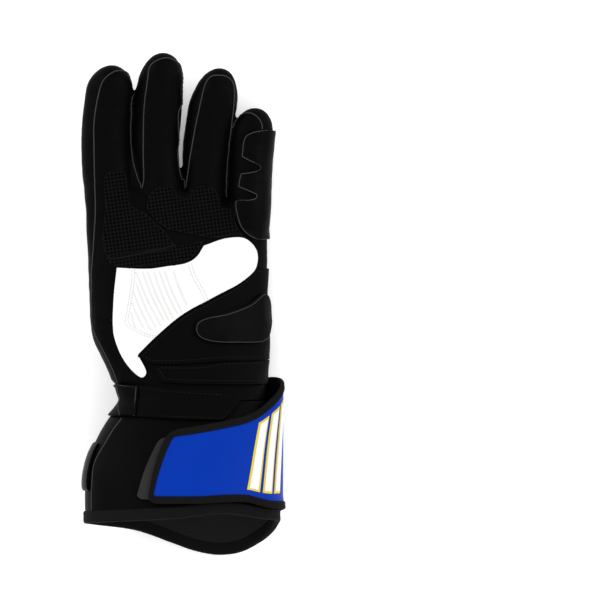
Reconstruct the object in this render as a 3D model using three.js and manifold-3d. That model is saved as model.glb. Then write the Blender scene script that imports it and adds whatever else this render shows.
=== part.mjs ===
// A left-hand motorcycle racing glove with a flared gauntlet, lying on its back with the palm up.
// Millimetres. +Y runs to the fingertips, +X to the little finger, +Z is the way the palm faces.
// The origin is on the surface that the glove rests on, under the middle of its length and width.
//
// The glove is a hollow leather form. The hand and cuff are one row of rounded sections, and each
// finger is a row of its own that ends in a dome. Every piece is cut from that form at a stated
// offset from its skin: the walls lie inside it, and the patches, straps and bindings outside it.
import * as THREE from "three";
import { mergeVertices } from "three/addons/utils/BufferGeometryUtils.js";
import Module from "manifold-3d";

const wasm = await Module();
wasm.setup();

// Driving dimensions
const LEATHER = 1.8; // wall of the hand, fingers and thumb
const CUFF_WALL = 2.0; // wall of the gauntlet, which is lined
const GAP = 0.3; // air between neighbouring pieces
const PATCH = 1.3; // thickness of a sewn patch
const TAPE_OUT = 1.1; // how far the tape round the gauntlet's edge stands out, which lifts the cuff
const WRIST_JOIN = -61.5; // where the hand is sewn to the gauntlet
const BINDING_WIDE = 6.6; // width of the tape round the edges of the gauntlet and flap
const CUFF_SIDES = 36;
const HAND_SIDES = 32;
const HAND_INNER_SIDES = 24;
const FINGER_SIDES = 12;
const FINGER_INNER_SIDES = 10;
const DOME_STEPS = 3;
const BODY_SQUARE = 2.5; // exponent of the rounded sections: 2 is an ellipse, and more is squarer
const FINGER_SQUARE = 2.25;
const HIGH = 200; // a height well above the glove, for cutters
const MIDDLE = { x: 1.87, y: 0.09 }; // middle of the glove in the tables' own axes

const COLOUR = {
  black: 0x0b0b0c,
  white: 0xf2f2f0,
  grip: 0x161616,
  binding: 0x1c1c1c,
  tab: 0x383a38,
  blue: 0x0138ad,
  lining: 0x242424,
};

// The hand and cuff: outline seen from the palm, height of the middle, half of the thickness, how
// far the thumb's side is raised by the thumb that is tucked beneath it, and the heights of the
// seams between palm and back leather, as shares of the half thickness.
const FORM = [
  { y: -170, left: -61.4, right: 63.0, mid: 43.6, half: 43.4, roll: 0, seamLeft: 0.1, seamRight: 0 },
  { y: -135, left: -60.8, right: 62.6, mid: 43.0, half: 42.0, roll: 0, seamLeft: 0.1, seamRight: 0 },
  { y: -119, left: -60.8, right: 61.6, mid: 42.4, half: 39.8, roll: 0, seamLeft: 0.1, seamRight: 0 },
  { y: -106, left: -59.6, right: 60.2, mid: 41.4, half: 37.4, roll: 0, seamLeft: 0.1, seamRight: 0 },
  { y: -93, left: -56.3, right: 58.4, mid: 39.8, half: 34.2, roll: 0.5, seamLeft: 0.1, seamRight: 0 },
  { y: -80, left: -50.2, right: 56.8, mid: 37.4, half: 30.4, roll: 1.5, seamLeft: 0.1, seamRight: 0 },
  { y: -68, left: -39.4, right: 55.6, mid: 34.8, half: 27.0, roll: 3, seamLeft: 0.1, seamRight: 0 },
  { y: -61.5, left: -36.4, right: 54.8, mid: 33.2, half: 25.6, roll: 4, seamLeft: 0.1, seamRight: 0 },
  { y: -49, left: -42.9, right: 55.0, mid: 30.6, half: 24.2, roll: 7, seamLeft: 0.05, seamRight: 0 },
  { y: -36, left: -49.6, right: 55.6, mid: 28.4, half: 22.8, roll: 9.5, seamLeft: 0, seamRight: 0 },
  { y: -23, left: -55.6, right: 55.4, mid: 25.5, half: 21.6, roll: 11, seamLeft: 0, seamRight: 0 },
  { y: -10, left: -58.2, right: 55.0, mid: 24.3, half: 20.6, roll: 12, seamLeft: 0, seamRight: 0 },
  { y: 2.5, left: -58.8, right: 54.6, mid: 23.5, half: 20.0, roll: 12, seamLeft: 0.05, seamRight: 0 },
  { y: 21.5, left: -59.6, right: 54.2, mid: 22.7, half: 19.2, roll: 12, seamLeft: 0.3, seamRight: 0.05 },
  { y: 41, left: -60.6, right: 54.8, mid: 21.9, half: 18.0, roll: 12, seamLeft: 0.6, seamRight: 0.1 },
  { y: 56, left: -61.4, right: 55.6, mid: 22, half: 15.4, roll: 12, seamLeft: 0.9, seamRight: 0.1 },
  { y: 66, left: -61.2, right: 55.4, mid: 22.8, half: 11.8, roll: 12, seamLeft: 1, seamRight: 0.1 },
  { y: 74, left: -60.0, right: 54.6, mid: 23.0, half: 7.0, roll: 12, seamLeft: 1.1, seamRight: 0.1 },
];
const GUIDE_ROWS = [-36, 2.5]; // rows of FORM that guide its curve and have no ring of their own
const FINGER_ROLL = 12;
const KNUCKLE = 74; // where the webs between the first fingers lie
const WEB_SLANT = { fromX: 10, perMm: 0.43, fromY: 38 }; // the webs fall back towards the little finger

// Fingers: centre of each section, half of its width and thickness, then the dome of the tip.
// seam is the height of the front panel's edges, as shares of the half thickness.
const FINGERS = {
  index: {
    seam: { left: 1.12, right: 0 },
    rows: [
      { y: 36, x: -44.0, z: 31.0, wide: 10.5, thick: 8.0 },
      { y: 58, x: -45.6, z: 30.8, wide: 14.4, thick: 12.4 },
      { y: 75, x: -46.2, z: 30.8, wide: 15.5, thick: 13.4 },
      { y: 98, x: -47.7, z: 31.4, wide: 15.6, thick: 12.9 },
      { y: 111, x: -47.9, z: 32.4, wide: 15.5, thick: 12.6 },
      { y: 124, x: -47.4, z: 33.8, wide: 15.4, thick: 12.2 },
      { y: 136, x: -46.2, z: 35.6, wide: 14.9, thick: 11.6 },
    ],
    tip: { x: -45.0, z: 38.6, reach: 16 },
  },
  middle: {
    seam: { left: 1.12, right: 0.05 },
    rows: [
      { y: 36, x: -12.6, z: 25.0, wide: 10.5, thick: 9.0 },
      { y: 58, x: -12.4, z: 24.8, wide: 13.6, thick: 12.8 },
      { y: 75, x: -13.2, z: 24.8, wide: 14.4, thick: 13.6 },
      { y: 98, x: -16.4, z: 25.6, wide: 14.9, thick: 13.1 },
      { y: 118, x: -15.9, z: 27.4, wide: 15.7, thick: 12.6 },
      { y: 130, x: -15.0, z: 29.2, wide: 15.4, thick: 12.2 },
      { y: 140.4, x: -14.4, z: 31.2, wide: 14.6, thick: 11.6 },
    ],
    tip: { x: -12.6, z: 35.6, reach: 20 },
  },
  ring: {
    seam: { left: 1.1, right: 0.05 },
    rows: [
      { y: 34, x: 15.6, z: 19.4, wide: 10.0, thick: 9.0 },
      { y: 55, x: 15.2, z: 19.2, wide: 12.6, thick: 12.4 },
      { y: 72, x: 15.2, z: 19.2, wide: 13.4, thick: 13.2 },
      { y: 85, x: 15.1, z: 19.5, wide: 13.7, thick: 12.9 },
      { y: 98, x: 15.4, z: 20.2, wide: 14.4, thick: 12.6 },
      { y: 111, x: 16.8, z: 21.6, wide: 15.1, thick: 12.2 },
      { y: 125.5, x: 19.4, z: 24.0, wide: 15.7, thick: 11.7 },
    ],
    tip: { x: 23.8, z: 29.4, reach: 25 },
  },
  little: {
    seam: { left: 0.1, right: 0.1 },
    rows: [
      { y: 28, x: 41.0, z: 14.8, wide: 9.4, thick: 8.0 },
      { y: 48, x: 41.6, z: 14.6, wide: 12.4, thick: 11.2 },
      { y: 66, x: 42.2, z: 14.6, wide: 13.4, thick: 12.2 },
      { y: 82, x: 42.9, z: 15.0, wide: 13.2, thick: 11.9 },
      { y: 98, x: 44.2, z: 16.2, wide: 13.2, thick: 11.5 },
      { y: 107.8, x: 44.9, z: 17.6, wide: 13.2, thick: 11.1 },
    ],
    tip: { x: 45.8, z: 20.6, reach: 17 },
  },
};

// The thumb leaves the hand's side at the heel and lies tucked beneath it, pressed flat.
const THUMB = {
  seam: { left: 0, right: 0 },
  rows: [
    { y: -44, x: -31.0, z: 28.0, wide: 11.5, thick: 9.0 },
    { y: -30, x: -34.4, z: 24.0, wide: 14.6, thick: 10.4 },
    { y: -16, x: -37.6, z: 18.2, wide: 15.8, thick: 10.4 },
    { y: -3, x: -39.8, z: 12.6, wide: 16.0, thick: 9.4 },
    { y: 10, x: -40.8, z: 7.0, wide: 16.0, thick: 7.6 },
    { y: 26, x: -40.8, z: 6.4, wide: 15.8, thick: 7.1 },
    { y: 44, x: -39.2, z: 6.4, wide: 14.8, thick: 7.1 },
  ],
  tip: { x: -37.6, z: 6.4, reach: 16 },
};

// The gauntlet's edge, seen from the palm: the back reaches further down the arm than the palm.
const RIM_PALM = [
  { x: -64, y: -139.2 },
  { x: -54, y: -138.9 },
  { x: -28, y: -137.7 },
  { x: -4, y: -136.4 },
  { x: 32, y: -133.4 },
  { x: 56, y: -136.8 },
  { x: 64, y: -135.4 },
];
const RIM_BACK = [
  { x: -64, y: -139.2 },
  { x: -54, y: -140.4 },
  { x: -28, y: -144.0 },
  { x: -4, y: -152.2 },
  { x: 8, y: -156.4 },
  { x: 29, y: -159.4 },
  { x: 41, y: -157.0 },
  { x: 56, y: -146.8 },
  { x: 64, y: -135.4 },
];

// The closing flap: its upper and lower edge round the gauntlet. Turn 90 is the middle of the palm
// side and 0 the little finger's side, and stand is how far the flap stands off the gauntlet there.
const FLAP = [
  { turn: 118, top: -84.5, bottom: -127.3, stand: 0 },
  { turn: 100, top: -83.2, bottom: -127.6, stand: 0 },
  { turn: 84, top: -79.4, bottom: -127.6, stand: 0 },
  { turn: 68, top: -75.8, bottom: -126.6, stand: 0 },
  { turn: 54, top: -72.6, bottom: -126.4, stand: 0.1 },
  { turn: 42, top: -68.4, bottom: -127.6, stand: 0.3 },
  { turn: 31, top: -62.8, bottom: -128.8, stand: 0.6 },
  { turn: 20, top: -56.6, bottom: -129.2, stand: 0.9 },
  { turn: 8, top: -50.8, bottom: -129.4, stand: 1 },
  { turn: -8, top: -47.0, bottom: -130.4, stand: 1 },
  { turn: -24, top: -46.4, bottom: -132.6, stand: 0.8 },
  { turn: -42, top: -48.0, bottom: -135.4, stand: 0.45 },
  { turn: -60, top: -52.0, bottom: -138.4, stand: 0.1 },
];
const FLAP_END = { topTurn: 96.6, bottomTurn: 102.8 }; // the free end leans
const FLAP_REACH = 64.0; // how far the flap's own skin reaches at the little finger's side
const FLAP_LOW = 2.5;
const FLAP_HIGH = 4.1;
const FLAP_BORDER = { low: 2.6, high: 4.9, wide: 6.4 };
const FLAP_HINGE_TURN = -58;
const FLAP_CORNER = { along: 0.028, down: 0.1 }; // what is cut off each corner of its free end
// The hook tab under the free end: how far it reaches beyond it, in degrees, and its edges.
const HOOK_TAB = { inner: 86, topReach: 4.4, bottomReach: 8.1, top: -86.5, bottom: -124.6 };
const HOOK_TAB_LOW = 0.7;
const HOOK_TAB_HIGH = 1.7;

// The wrist strap's edges round the wrist. It comes from the back and ends in a cut corner.
const STRAP = [
  { turn: 58, top: -59.6, bottom: -60.6 },
  { turn: 62, top: -58.4, bottom: -66.2 },
  { turn: 70, top: -57.9, bottom: -73.2 },
  { turn: 78, top: -57.2, bottom: -74.6 },
  { turn: 100, top: -55.0, bottom: -73.6 },
  { turn: 125, top: -52.8, bottom: -72.2 },
  { turn: 150, top: -51.4, bottom: -71.6 },
  { turn: 180, top: -51.0, bottom: -71.4 },
  { turn: 225, top: -51.0, bottom: -71.4 },
  { turn: 270, top: -51.0, bottom: -71.4 },
  { turn: 310, top: -51.0, bottom: -71.4 },
];
const STRAP_LOW = 0.6;
const STRAP_HIGH = 2.0;
const KEEPER = { from: 128.5, to: 168.5, top: -50.6, bottom: -72.8, low: 2.5, high: 3.7 };

// Outlines of the patches on the palm, seen from the palm. corner marks a sharp point.
const WHITE_PANEL = [
  { x: -41.2, y: 22.2, corner: true },
  { x: -20.4, y: 21.9 },
  { x: -7.9, y: 23.6 },
  { x: 4.8, y: 25.8 },
  { x: 11.4, y: 29.9 },
  { x: 15.8, y: 37.0, corner: true },
  { x: 29.5, y: 41.2 },
  { x: 40.5, y: 41.4 },
  { x: 47.3, y: 34.1 },
  { x: 46.8, y: 23.1 },
  { x: 38.3, y: 14.7 },
  { x: 21.4, y: 4.7 },
  { x: 1.6, y: -6.3 },
  { x: -16.0, y: -20.6 },
  { x: -28.9, y: -31.8, corner: true },
  { x: -23.5, y: -43.9 },
  { x: -26.0, y: -46.6 },
  { x: -35.1, y: -37.8 },
  { x: -42.9, y: -21.0 },
  { x: -43.4, y: 2.0 },
];
const HEEL_PANEL = [
  { x: -28.2, y: -32.2, corner: true },
  { x: -15.6, y: -21.2 },
  { x: 2.0, y: -6.9 },
  { x: 21.7, y: 4.0 },
  { x: 38.8, y: 14.1 },
  { x: 47.6, y: 22.6, corner: true },
  { x: 70.0, y: 22.6, corner: true },
  { x: 70.0, y: -34.2, corner: true },
  { x: 27.3, y: -35.0, corner: true },
  { x: 0.0, y: -37.4 },
  { x: -17.0, y: -37.4, corner: true },
];
const HEEL_SLIDER = [
  { x: 8.8, y: -16.6 },
  { x: 9.9, y: -11.3 },
  { x: 15.2, y: -8.1 },
  { x: 29.1, y: -4.9 },
  { x: 40.8, y: -0.1 },
  { x: 49.9, y: 6.8 },
  { x: 55.2, y: 5.8 },
  { x: 59.0, y: -2.0 },
  { x: 59.0, y: -13.0 },
  { x: 55.0, y: -21.4 },
  { x: 44.0, y: -24.4 },
  { x: 22.7, y: -24.1 },
  { x: 12.0, y: -21.3 },
];
const WRIST_PANEL = [
  { x: -16.4, y: -38.2, corner: true },
  { x: 13.2, y: -38.2 },
  { x: 27.3, y: -35.9, corner: true },
  { x: 70.0, y: -35.0, corner: true },
  { x: 70.0, y: -49.6, corner: true },
  { x: 50.0, y: -50.6, corner: true },
  { x: 10.0, y: -50.6, corner: true },
  { x: -10.6, y: -49.4, corner: true },
];
const INDEX_GRIP = [
  { x: -47.9, y: 62.8 },
  { x: -47.7, y: 82.6 },
  { x: -42.0, y: 86.0 },
  { x: -36.0, y: 84.2 },
  { x: -33.6, y: 69.0 },
  { x: -31.6, y: 63.8 },
  { x: -22.6, y: 58.2 },
  { x: -15.6, y: 52.0 },
  { x: -9.4, y: 46.2 },
  { x: -3.6, y: 37.9, corner: true },
  { x: -23.5, y: 33.1 },
  { x: -45.6, y: 29.4, corner: true },
  { x: -48.9, y: 36.2 },
];
const KNUCKLE_GRIP = [
  { x: -21.4, y: 63.4 },
  { x: -18.6, y: 71.0 },
  { x: -12.0, y: 76.2 },
  { x: -5.0, y: 75.4 },
  { x: -1.6, y: 69.8 },
  { x: 2.0, y: 68.1 },
  { x: 5.8, y: 69.2 },
  { x: 10.0, y: 75.0 },
  { x: 20.0, y: 75.0 },
  { x: 24.2, y: 69.4 },
  { x: 26.2, y: 62.0 },
  { x: 33.2, y: 60.6, corner: true },
  { x: 36.0, y: 50.6 },
  { x: 39.8, y: 44.4, corner: true },
  { x: 21.1, y: 42.8 },
  { x: 3.1, y: 45.9 },
  { x: -8.0, y: 48.0, corner: true },
  { x: -14.6, y: 53.0 },
  { x: -19.4, y: 58.4 },
];
const LOWER_GRIP = [
  { x: -45.6, y: 28.8, corner: true },
  { x: -23.5, y: 32.4 },
  { x: -3.3, y: 37.2 },
  { x: 15.2, y: 40.4, corner: true },
  { x: 14.0, y: 37.2 },
  { x: 9.6, y: 30.2 },
  { x: 3.1, y: 26.4 },
  { x: -11.8, y: 23.8 },
  { x: -28.8, y: 22.4 },
  { x: -40.0, y: 23.0 },
  { x: -45.0, y: 26.0 },
];
const LITTLE_GUARD = [
  { x: 66.0, y: 112.0, corner: true },
  { x: 59.8, y: 111.6, corner: true },
  { x: 46.2, y: 110.0 },
  { x: 41.9, y: 107.6 },
  { x: 40.3, y: 104.4 },
  { x: 39.2, y: 94.8, corner: true },
  { x: 50.7, y: 89.0 },
  { x: 51.3, y: 87.0 },
  { x: 49.4, y: 85.6 },
  { x: 38.7, y: 83.6, corner: true },
  { x: 37.2, y: 75.3, corner: true },
  { x: 48.6, y: 70.1 },
  { x: 48.3, y: 68.2 },
  { x: 45.1, y: 66.9 },
  { x: 35.5, y: 66.6, corner: true },
  { x: 36.6, y: 55.9 },
  { x: 39.2, y: 49.0 },
  { x: 44.0, y: 44.2 },
  { x: 49.4, y: 42.0, corner: true },
  { x: 66.0, y: 42.0, corner: true },
];
const GUARD_DEPTH = 9; // how far the little finger's guard reaches down its side, below the middle
const GUARD_THICK = 1.7;
const SLIDER_THICK = 2.4;

// A plate on the back of the gauntlet, whose edge shows beside the thumb's side of the cuff.
const CUFF_GUARD = { from: 160, to: 290, top: -87.5, bottom: -119.5, low: 1.0, high: 2.7 };
const LINING = { from: 190, to: 350, low: -4.4, high: -3.5, end: -84 };
const BINDING = { inner: -3.1, lip: 0.8 };

const radians = THREE.MathUtils.degToRad;

/** Value of a table at one place, on a smooth curve through its rows. */
function tableReader(rows, key, columns) {
  const sorted = [...rows].sort((a, b) => a[key] - b[key]);
  const places = sorted.map((row) => row[key]);
  const values = sorted.flatMap((row) => columns.map((column) => row[column]));
  const curve = new THREE.CubicInterpolant(places, values, columns.length);
  const first = places[0];
  const last = places[places.length - 1];
  return (place) => {
    const found = curve.evaluate(THREE.MathUtils.clamp(place, first, last));
    return Object.fromEntries(columns.map((column, i) => [column, found[i]]));
  };
}

/** Point of a rounded section about its own centre, across u and through w. */
function roundedSection(turn, halfWide, halfThick, square) {
  const c = Math.cos(turn);
  const s = Math.sin(turn);
  const power = 2 / square;
  return {
    u: Math.sign(c) * Math.abs(c) ** power * halfWide,
    w: Math.sign(s) * Math.abs(s) ** power * halfThick,
  };
}

/** Turns a section's own u and w into x and z, with the thumb's side raised by roll degrees. */
function place(centre, u, w, roll, y) {
  const lean = radians(roll);
  return new THREE.Vector3(
    centre.x + u * Math.cos(lean) + w * Math.sin(lean),
    y,
    centre.z - u * Math.sin(lean) + w * Math.cos(lean),
  );
}

/** Leather is pressed flat where it lies: the hand on its own skin, the gauntlet on its tape. */
function settle(point, offset) {
  const lift = point.y < WRIST_JOIN ? TAPE_OUT : 0;
  point.z = Math.max(point.z, lift - offset, 0);
  return point;
}

const formAt = tableReader(FORM, "y", ["left", "right", "mid", "half", "roll", "seamLeft", "seamRight"]);

/** Point of the hand and cuff at a distance y, a turn in degrees and an offset from the skin. */
function onForm(turn, y, offset) {
  const section = formAt(y);
  const halfWide = (section.right - section.left) / 2 + offset;
  const centre = { x: (section.left + section.right) / 2, z: section.mid };
  const { u, w } = roundedSection(radians(turn), halfWide, section.half + offset, BODY_SQUARE);
  const point = place(centre, u, w, section.roll, y);
  const share = THREE.MathUtils.smoothstep(y, WEB_SLANT.fromY, KNUCKLE);
  point.y -= WEB_SLANT.perMm * Math.max(0, point.x - WEB_SLANT.fromX) * share;
  return settle(point, offset);
}

/** Triangles that close a ring, as a fan about its middle, which is added to the points. */
function fanCap(points, start, sides) {
  const ring = points.slice(start, start + sides);
  const middle = ring.reduce((sum, p) => sum.add(p), new THREE.Vector3()).divideScalar(sides);
  const hub = points.push(middle) - 1;
  return ring.map((_, j) => [hub, start + j, start + ((j + 1) % sides)]);
}

/** Triangles that close the ring of a thin sheet, whose second half runs back over its first. */
function thinCap(points, start, sides) {
  const faces = [];
  for (let j = 0; j + 1 < sides / 2; j++) {
    const opposite = start + sides - 1 - j;
    faces.push([start + j, start + j + 1, opposite], [start + j + 1, opposite - 1, opposite]);
  }
  return faces;
}

/** Closed geometry from rings of points, with both of its ends closed by a cap. */
function loft(rings, cap = fanCap) {
  const sides = rings[0].length;
  const points = rings.flat();
  const faces = [];
  for (let i = 0; i + 1 < rings.length; i++)
    for (let j = 0; j < sides; j++) {
      const a = i * sides + j;
      const b = i * sides + ((j + 1) % sides);
      faces.push(a, b, a + sides, b, b + sides, a + sides);
    }
  const end = (rings.length - 1) * sides;
  for (const [a, b, c] of cap(points, 0, sides)) faces.push(a, c, b);
  for (const [a, b, c] of cap(points, end, sides)) faces.push(a, b, c);
  return new THREE.BufferGeometry().setFromPoints(points).setIndex(faces);
}

/** Closed geometry of a band whose cross-section, a loop of points, is given at each step. */
function closedSweep(loops) {
  const count = loops.length;
  const sides = loops[0].length;
  const faces = [];
  for (let i = 0; i < count; i++)
    for (let j = 0; j < sides; j++) {
      const a = i * sides + j;
      const b = i * sides + ((j + 1) % sides);
      const c = ((i + 1) % count) * sides + j;
      const d = ((i + 1) % count) * sides + ((j + 1) % sides);
      faces.push(a, b, c, b, d, c);
    }
  return new THREE.BufferGeometry().setFromPoints(loops.flat()).setIndex(faces);
}

/** A manifold solid from any closed geometry, with its faces turned outwards. */
function solid(geometry) {
  const bare = new THREE.BufferGeometry().setAttribute("position", geometry.getAttribute("position"));
  if (geometry.index) bare.setIndex(geometry.index);
  const merged = mergeVertices(bare, 1e-4);
  const corners = new Uint32Array(merged.index.array);
  const vertProperties = new Float32Array(merged.attributes.position.array);
  const make = () => new wasm.Manifold(new wasm.Mesh({ numProp: 3, vertProperties, triVerts: corners }));
  const made = make();
  if (made.volume() > 0) return made;
  for (let i = 0; i < corners.length; i += 3)
    [corners[i + 1], corners[i + 2]] = [corners[i + 2], corners[i + 1]];
  return make();
}

/** Geometry of a manifold solid. */
function geometryOf(made) {
  const mesh = made.getMesh();
  const geometry = new THREE.BufferGeometry();
  geometry.setAttribute("position", new THREE.BufferAttribute(new Float32Array(mesh.vertProperties), 3));
  geometry.setIndex(new THREE.BufferAttribute(new Uint32Array(mesh.triVerts), 1));
  const flat = geometry.toNonIndexed();
  flat.computeVertexNormals();
  return flat;
}

const union = (solids) => solids.reduce((sum, next) => sum.add(next));

/** The largest body of a cut, without the slivers that a cut can leave. */
function mainBody(made) {
  return made.decompose().sort((a, b) => b.volume() - a.volume())[0];
}

/** The hand and cuff between two distances, at an offset from the skin. */
function bodySolid(from, to, offset) {
  const rows = offset < 0 ? everyOther(FORM) : FORM.filter((row) => !GUIDE_ROWS.includes(row.y));
  const stops = rows.map((row) => row.y).filter((y) => y > from + 3 && y < to - 3);
  const rings = [from, ...stops, to].map((y) => bodyRing(y, offset));
  return solid(loft(rings));
}

function bodyRing(y, offset) {
  const sides = offset < 0 ? HAND_INNER_SIDES : HAND_SIDES;
  return Array.from({ length: sides }, (_, j) => onForm((j * 360) / sides, y, offset));
}

/** One finger's section as a ring of points, shrunk by scale towards the tip. */
function fingerRing(row, y, offset, scale) {
  const sides = offset < 0 ? FINGER_INNER_SIDES : FINGER_SIDES;
  return Array.from({ length: sides }, (_, j) => {
    const turn = radians((j * 360) / sides);
    const wide = (row.wide + offset) * scale;
    const thick = (row.thick + offset) * scale;
    const { u, w } = roundedSection(turn, wide, thick, FINGER_SQUARE);
    return settle(place(row, u, w, FINGER_ROLL, y), offset);
  });
}

/** Every other row of a table, and its last: enough for the inside, which is simpler. */
const everyOther = (rows) => rows.filter((row, i) => i % 2 === 1 || i === rows.length - 1);

/** A finger or the thumb at an offset from its skin: its rows, then the dome of its tip. */
function fingerSolid({ rows, tip }, offset) {
  const last = rows[rows.length - 1];
  const used = offset < 0 ? [rows[0], ...everyOther(rows)] : rows;
  const steps = offset < 0 ? DOME_STEPS - 1 : DOME_STEPS;
  const rings = used.map((row) => fingerRing(row, row.y, offset, 1));
  for (let i = 1; i <= steps; i++) {
    const rise = radians((84 * i) / steps);
    const share = Math.sin(rise);
    const row = {
      x: THREE.MathUtils.lerp(last.x, tip.x, share),
      z: THREE.MathUtils.lerp(last.z, tip.z, share),
      wide: last.wide,
      thick: last.thick,
    };
    rings.push(fingerRing(row, last.y + (tip.reach + offset) * share, offset, Math.cos(rise)));
  }
  return solid(loft(rings));
}

/** All that lies on the palm side of a finger's seam. */
function fingerFront({ rows, tip, seam }, grow) {
  const last = rows[rows.length - 1];
  const end = { ...last, x: tip.x, z: tip.z, y: last.y + tip.reach + 4 };
  const start = { ...rows[1], y: rows[1].y - grow };
  const rings = [start, ...rows.slice(2), end].map((row) => {
    const reach = row.wide + 0.2 + grow;
    const corner = (u, w) => place(row, u, w, FINGER_ROLL, row.y);
    const left = row.thick * seam.left - grow;
    const right = row.thick * seam.right - grow;
    return [corner(-reach, left), corner(reach, right), corner(reach, HIGH), corner(-reach, HIGH)];
  });
  return solid(loft(rings));
}

/** All that lies on the palm side of the hand's and cuff's seams. */
function bodyFront(from, to, grow) {
  const ys = [from, ...FORM.map((row) => row.y).filter((y) => y > from + 1 && y < to - 1), to];
  const rings = ys.map((y) => {
    const section = formAt(y);
    const centre = { x: (section.left + section.right) / 2, z: section.mid };
    const reach = (section.right - section.left) / 2 + 12;
    const corner = (u, w) => place(centre, u, w, section.roll, y);
    const left = section.half * section.seamLeft - grow;
    const right = section.half * section.seamRight - grow;
    return [corner(-reach, left), corner(reach, right), corner(reach, HIGH), corner(-reach, HIGH)];
  });
  return solid(loft(rings));
}

/** A smooth outline through a table of points, with the points marked corner left sharp. */
function outlineShape(rows) {
  const start = Math.max(0, rows.findIndex((row) => row.corner));
  const ordered = [...rows.slice(start), ...rows.slice(0, start), rows[start]];
  const shape = new THREE.Shape();
  shape.moveTo(ordered[0].x, ordered[0].y);
  let run = [];
  ordered.slice(1).forEach((row, i, rest) => {
    run.push(new THREE.Vector2(row.x, row.y));
    if (!row.corner && i + 1 < rest.length) return;
    if (run.length === 1) shape.lineTo(run[0].x, run[0].y);
    else shape.splineThru(run);
    run = [];
  });
  return shape;
}

/** An upright prism over an outline, from a height up. */
function prism(rows, from = 12) {
  const shape = outlineShape(rows);
  const curve = new THREE.Shape(dropRepeats(shape.getPoints(2)));
  const geometry = new THREE.ExtrudeGeometry(curve, { depth: HIGH, bevelEnabled: false });
  geometry.translate(0, 0, from);
  return solid(geometry);
}

/** The points of an outline, without repeats and with those on one straight line left out. */
function dropRepeats(points) {
  const kept = points.filter((p, i) => i === 0 || p.distanceTo(points[i - 1]) > 0.4);
  if (kept[0].distanceTo(kept[kept.length - 1]) < 0.4) kept.pop();
  return kept;
}

/** The whole hand with its fingers at an offset from the skin. */
function handSolid(offset, from = -64) {
  const fingers = Object.values(FINGERS).map((finger) => fingerSolid(finger, offset));
  return union([bodySolid(from, KNUCKLE + Math.min(0, offset), offset), ...fingers]);
}

/** A patch that lies on the palm over an outline, between two offsets from the skin. */
function palmPatch(rows, low, high, from) {
  return mainBody(skinBetween(low, high).intersect(prism(rows, from)));
}

const skins = new Map();
function skinBetween(low, high) {
  const key = low + ":" + high;
  if (!skins.has(key)) skins.set(key, handSolid(high).subtract(handSolid(low)));
  return skins.get(key);
}

/** A curved sheet between two offsets, over a grid of turns and distances. */
function sheet(columns, rowCount, edge, low, high) {
  const rings = columns.map((column) => {
    const shares = Array.from({ length: rowCount + 1 }, (_, i) => i / rowCount);
    const under = shares.map((share) => edge(column, share, low));
    const over = shares.map((share) => edge(column, share, high));
    return [...under, ...over.reverse()];
  });
  return solid(loft(rings, thinCap));
}

/** The turns from one to another in even steps. */
function turns(from, to, step) {
  const count = Math.max(1, Math.round(Math.abs(to - from) / step));
  return Array.from({ length: count + 1 }, (_, i) => THREE.MathUtils.lerp(from, to, i / count));
}

const rimPalm = tableReader(RIM_PALM, "x", ["y"]);
const rimBack = tableReader(RIM_BACK, "x", ["y"]);

/** Distance of the gauntlet's edge at a turn. */
function rimAt(turn) {
  const side = onForm(turn, -140, 0).x;
  return (Math.sin(radians(turn)) >= 0 ? rimPalm(side) : rimBack(side)).y;
}

/** The gauntlet at an offset, from the wrist to beyond or up to its edge. */
function cuffSolid(offset, from, beyond) {
  const shares = offset < 0 ? [0, 0.35, 0.7, 1] : [0, 0.15, 0.32, 0.52, 0.76, 1];
  const ring = (distance, inward = 0) =>
    Array.from({ length: CUFF_SIDES }, (_, j) => {
      const turn = (j * 360) / CUFF_SIDES;
      return onForm(turn, distance(turn), offset - inward);
    });
  const hem = BINDING_WIDE + 1;
  const rings = shares.map((share) => ring((turn) => THREE.MathUtils.lerp(from, rimAt(turn) + hem, share)));
  rings.push(ring((turn) => rimAt(turn) - beyond));
  rings.push(ring((turn) => rimAt(turn) - beyond, CUFF_WALL + 1));
  return solid(loft(rings));
}

const flapAt = tableReader(FLAP, "turn", ["top", "bottom", "stand"]);

/** Point of the flap at a turn and distance, at an offset from where it would lie close. */
function onFlap(turn, y, offset) {
  const { stand } = flapAt(turn);
  const spare = Math.max(0, FLAP_REACH - FLAP_LOW - formAt(y).right) * stand;
  return onForm(turn, y, offset + spare);
}

/** Turn of the flap's free end at a share of its height, from its upper edge down. */
const flapEnd = (share) => THREE.MathUtils.lerp(FLAP_END.topTurn, FLAP_END.bottomTurn, share);

/** Point of the flap at shares of its length and height, held inside its border by inset. */
function flapPoint(along, down, offset, inset) {
  const inTurns = inset * 1.05;
  const turn = THREE.MathUtils.lerp(flapEnd(down) - inTurns, FLAP_HINGE_TURN, along);
  const { top, bottom } = flapAt(turn);
  return onFlap(turn, THREE.MathUtils.lerp(top - inset, bottom + inset, down), offset);
}

function flapPanel() {
  const columns = [0, FLAP_CORNER.along, ...flapSteps().slice(1)];
  const inset = FLAP_BORDER.wide + 2 * GAP;
  const edge = (along, down, offset) => {
    const cut = along === 0 ? FLAP_CORNER.down : 0;
    return flapPoint(along, THREE.MathUtils.lerp(cut, 1 - cut, down), offset, inset);
  };
  return sheet(columns, 4, edge, FLAP_LOW, FLAP_HIGH);
}

/** Shares of the flap's length at even steps from its cut corners to its hinge. */
function flapSteps() {
  return Array.from({ length: 17 }, (_, i) => THREE.MathUtils.lerp(FLAP_CORNER.along, 1, i / 16));
}

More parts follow.
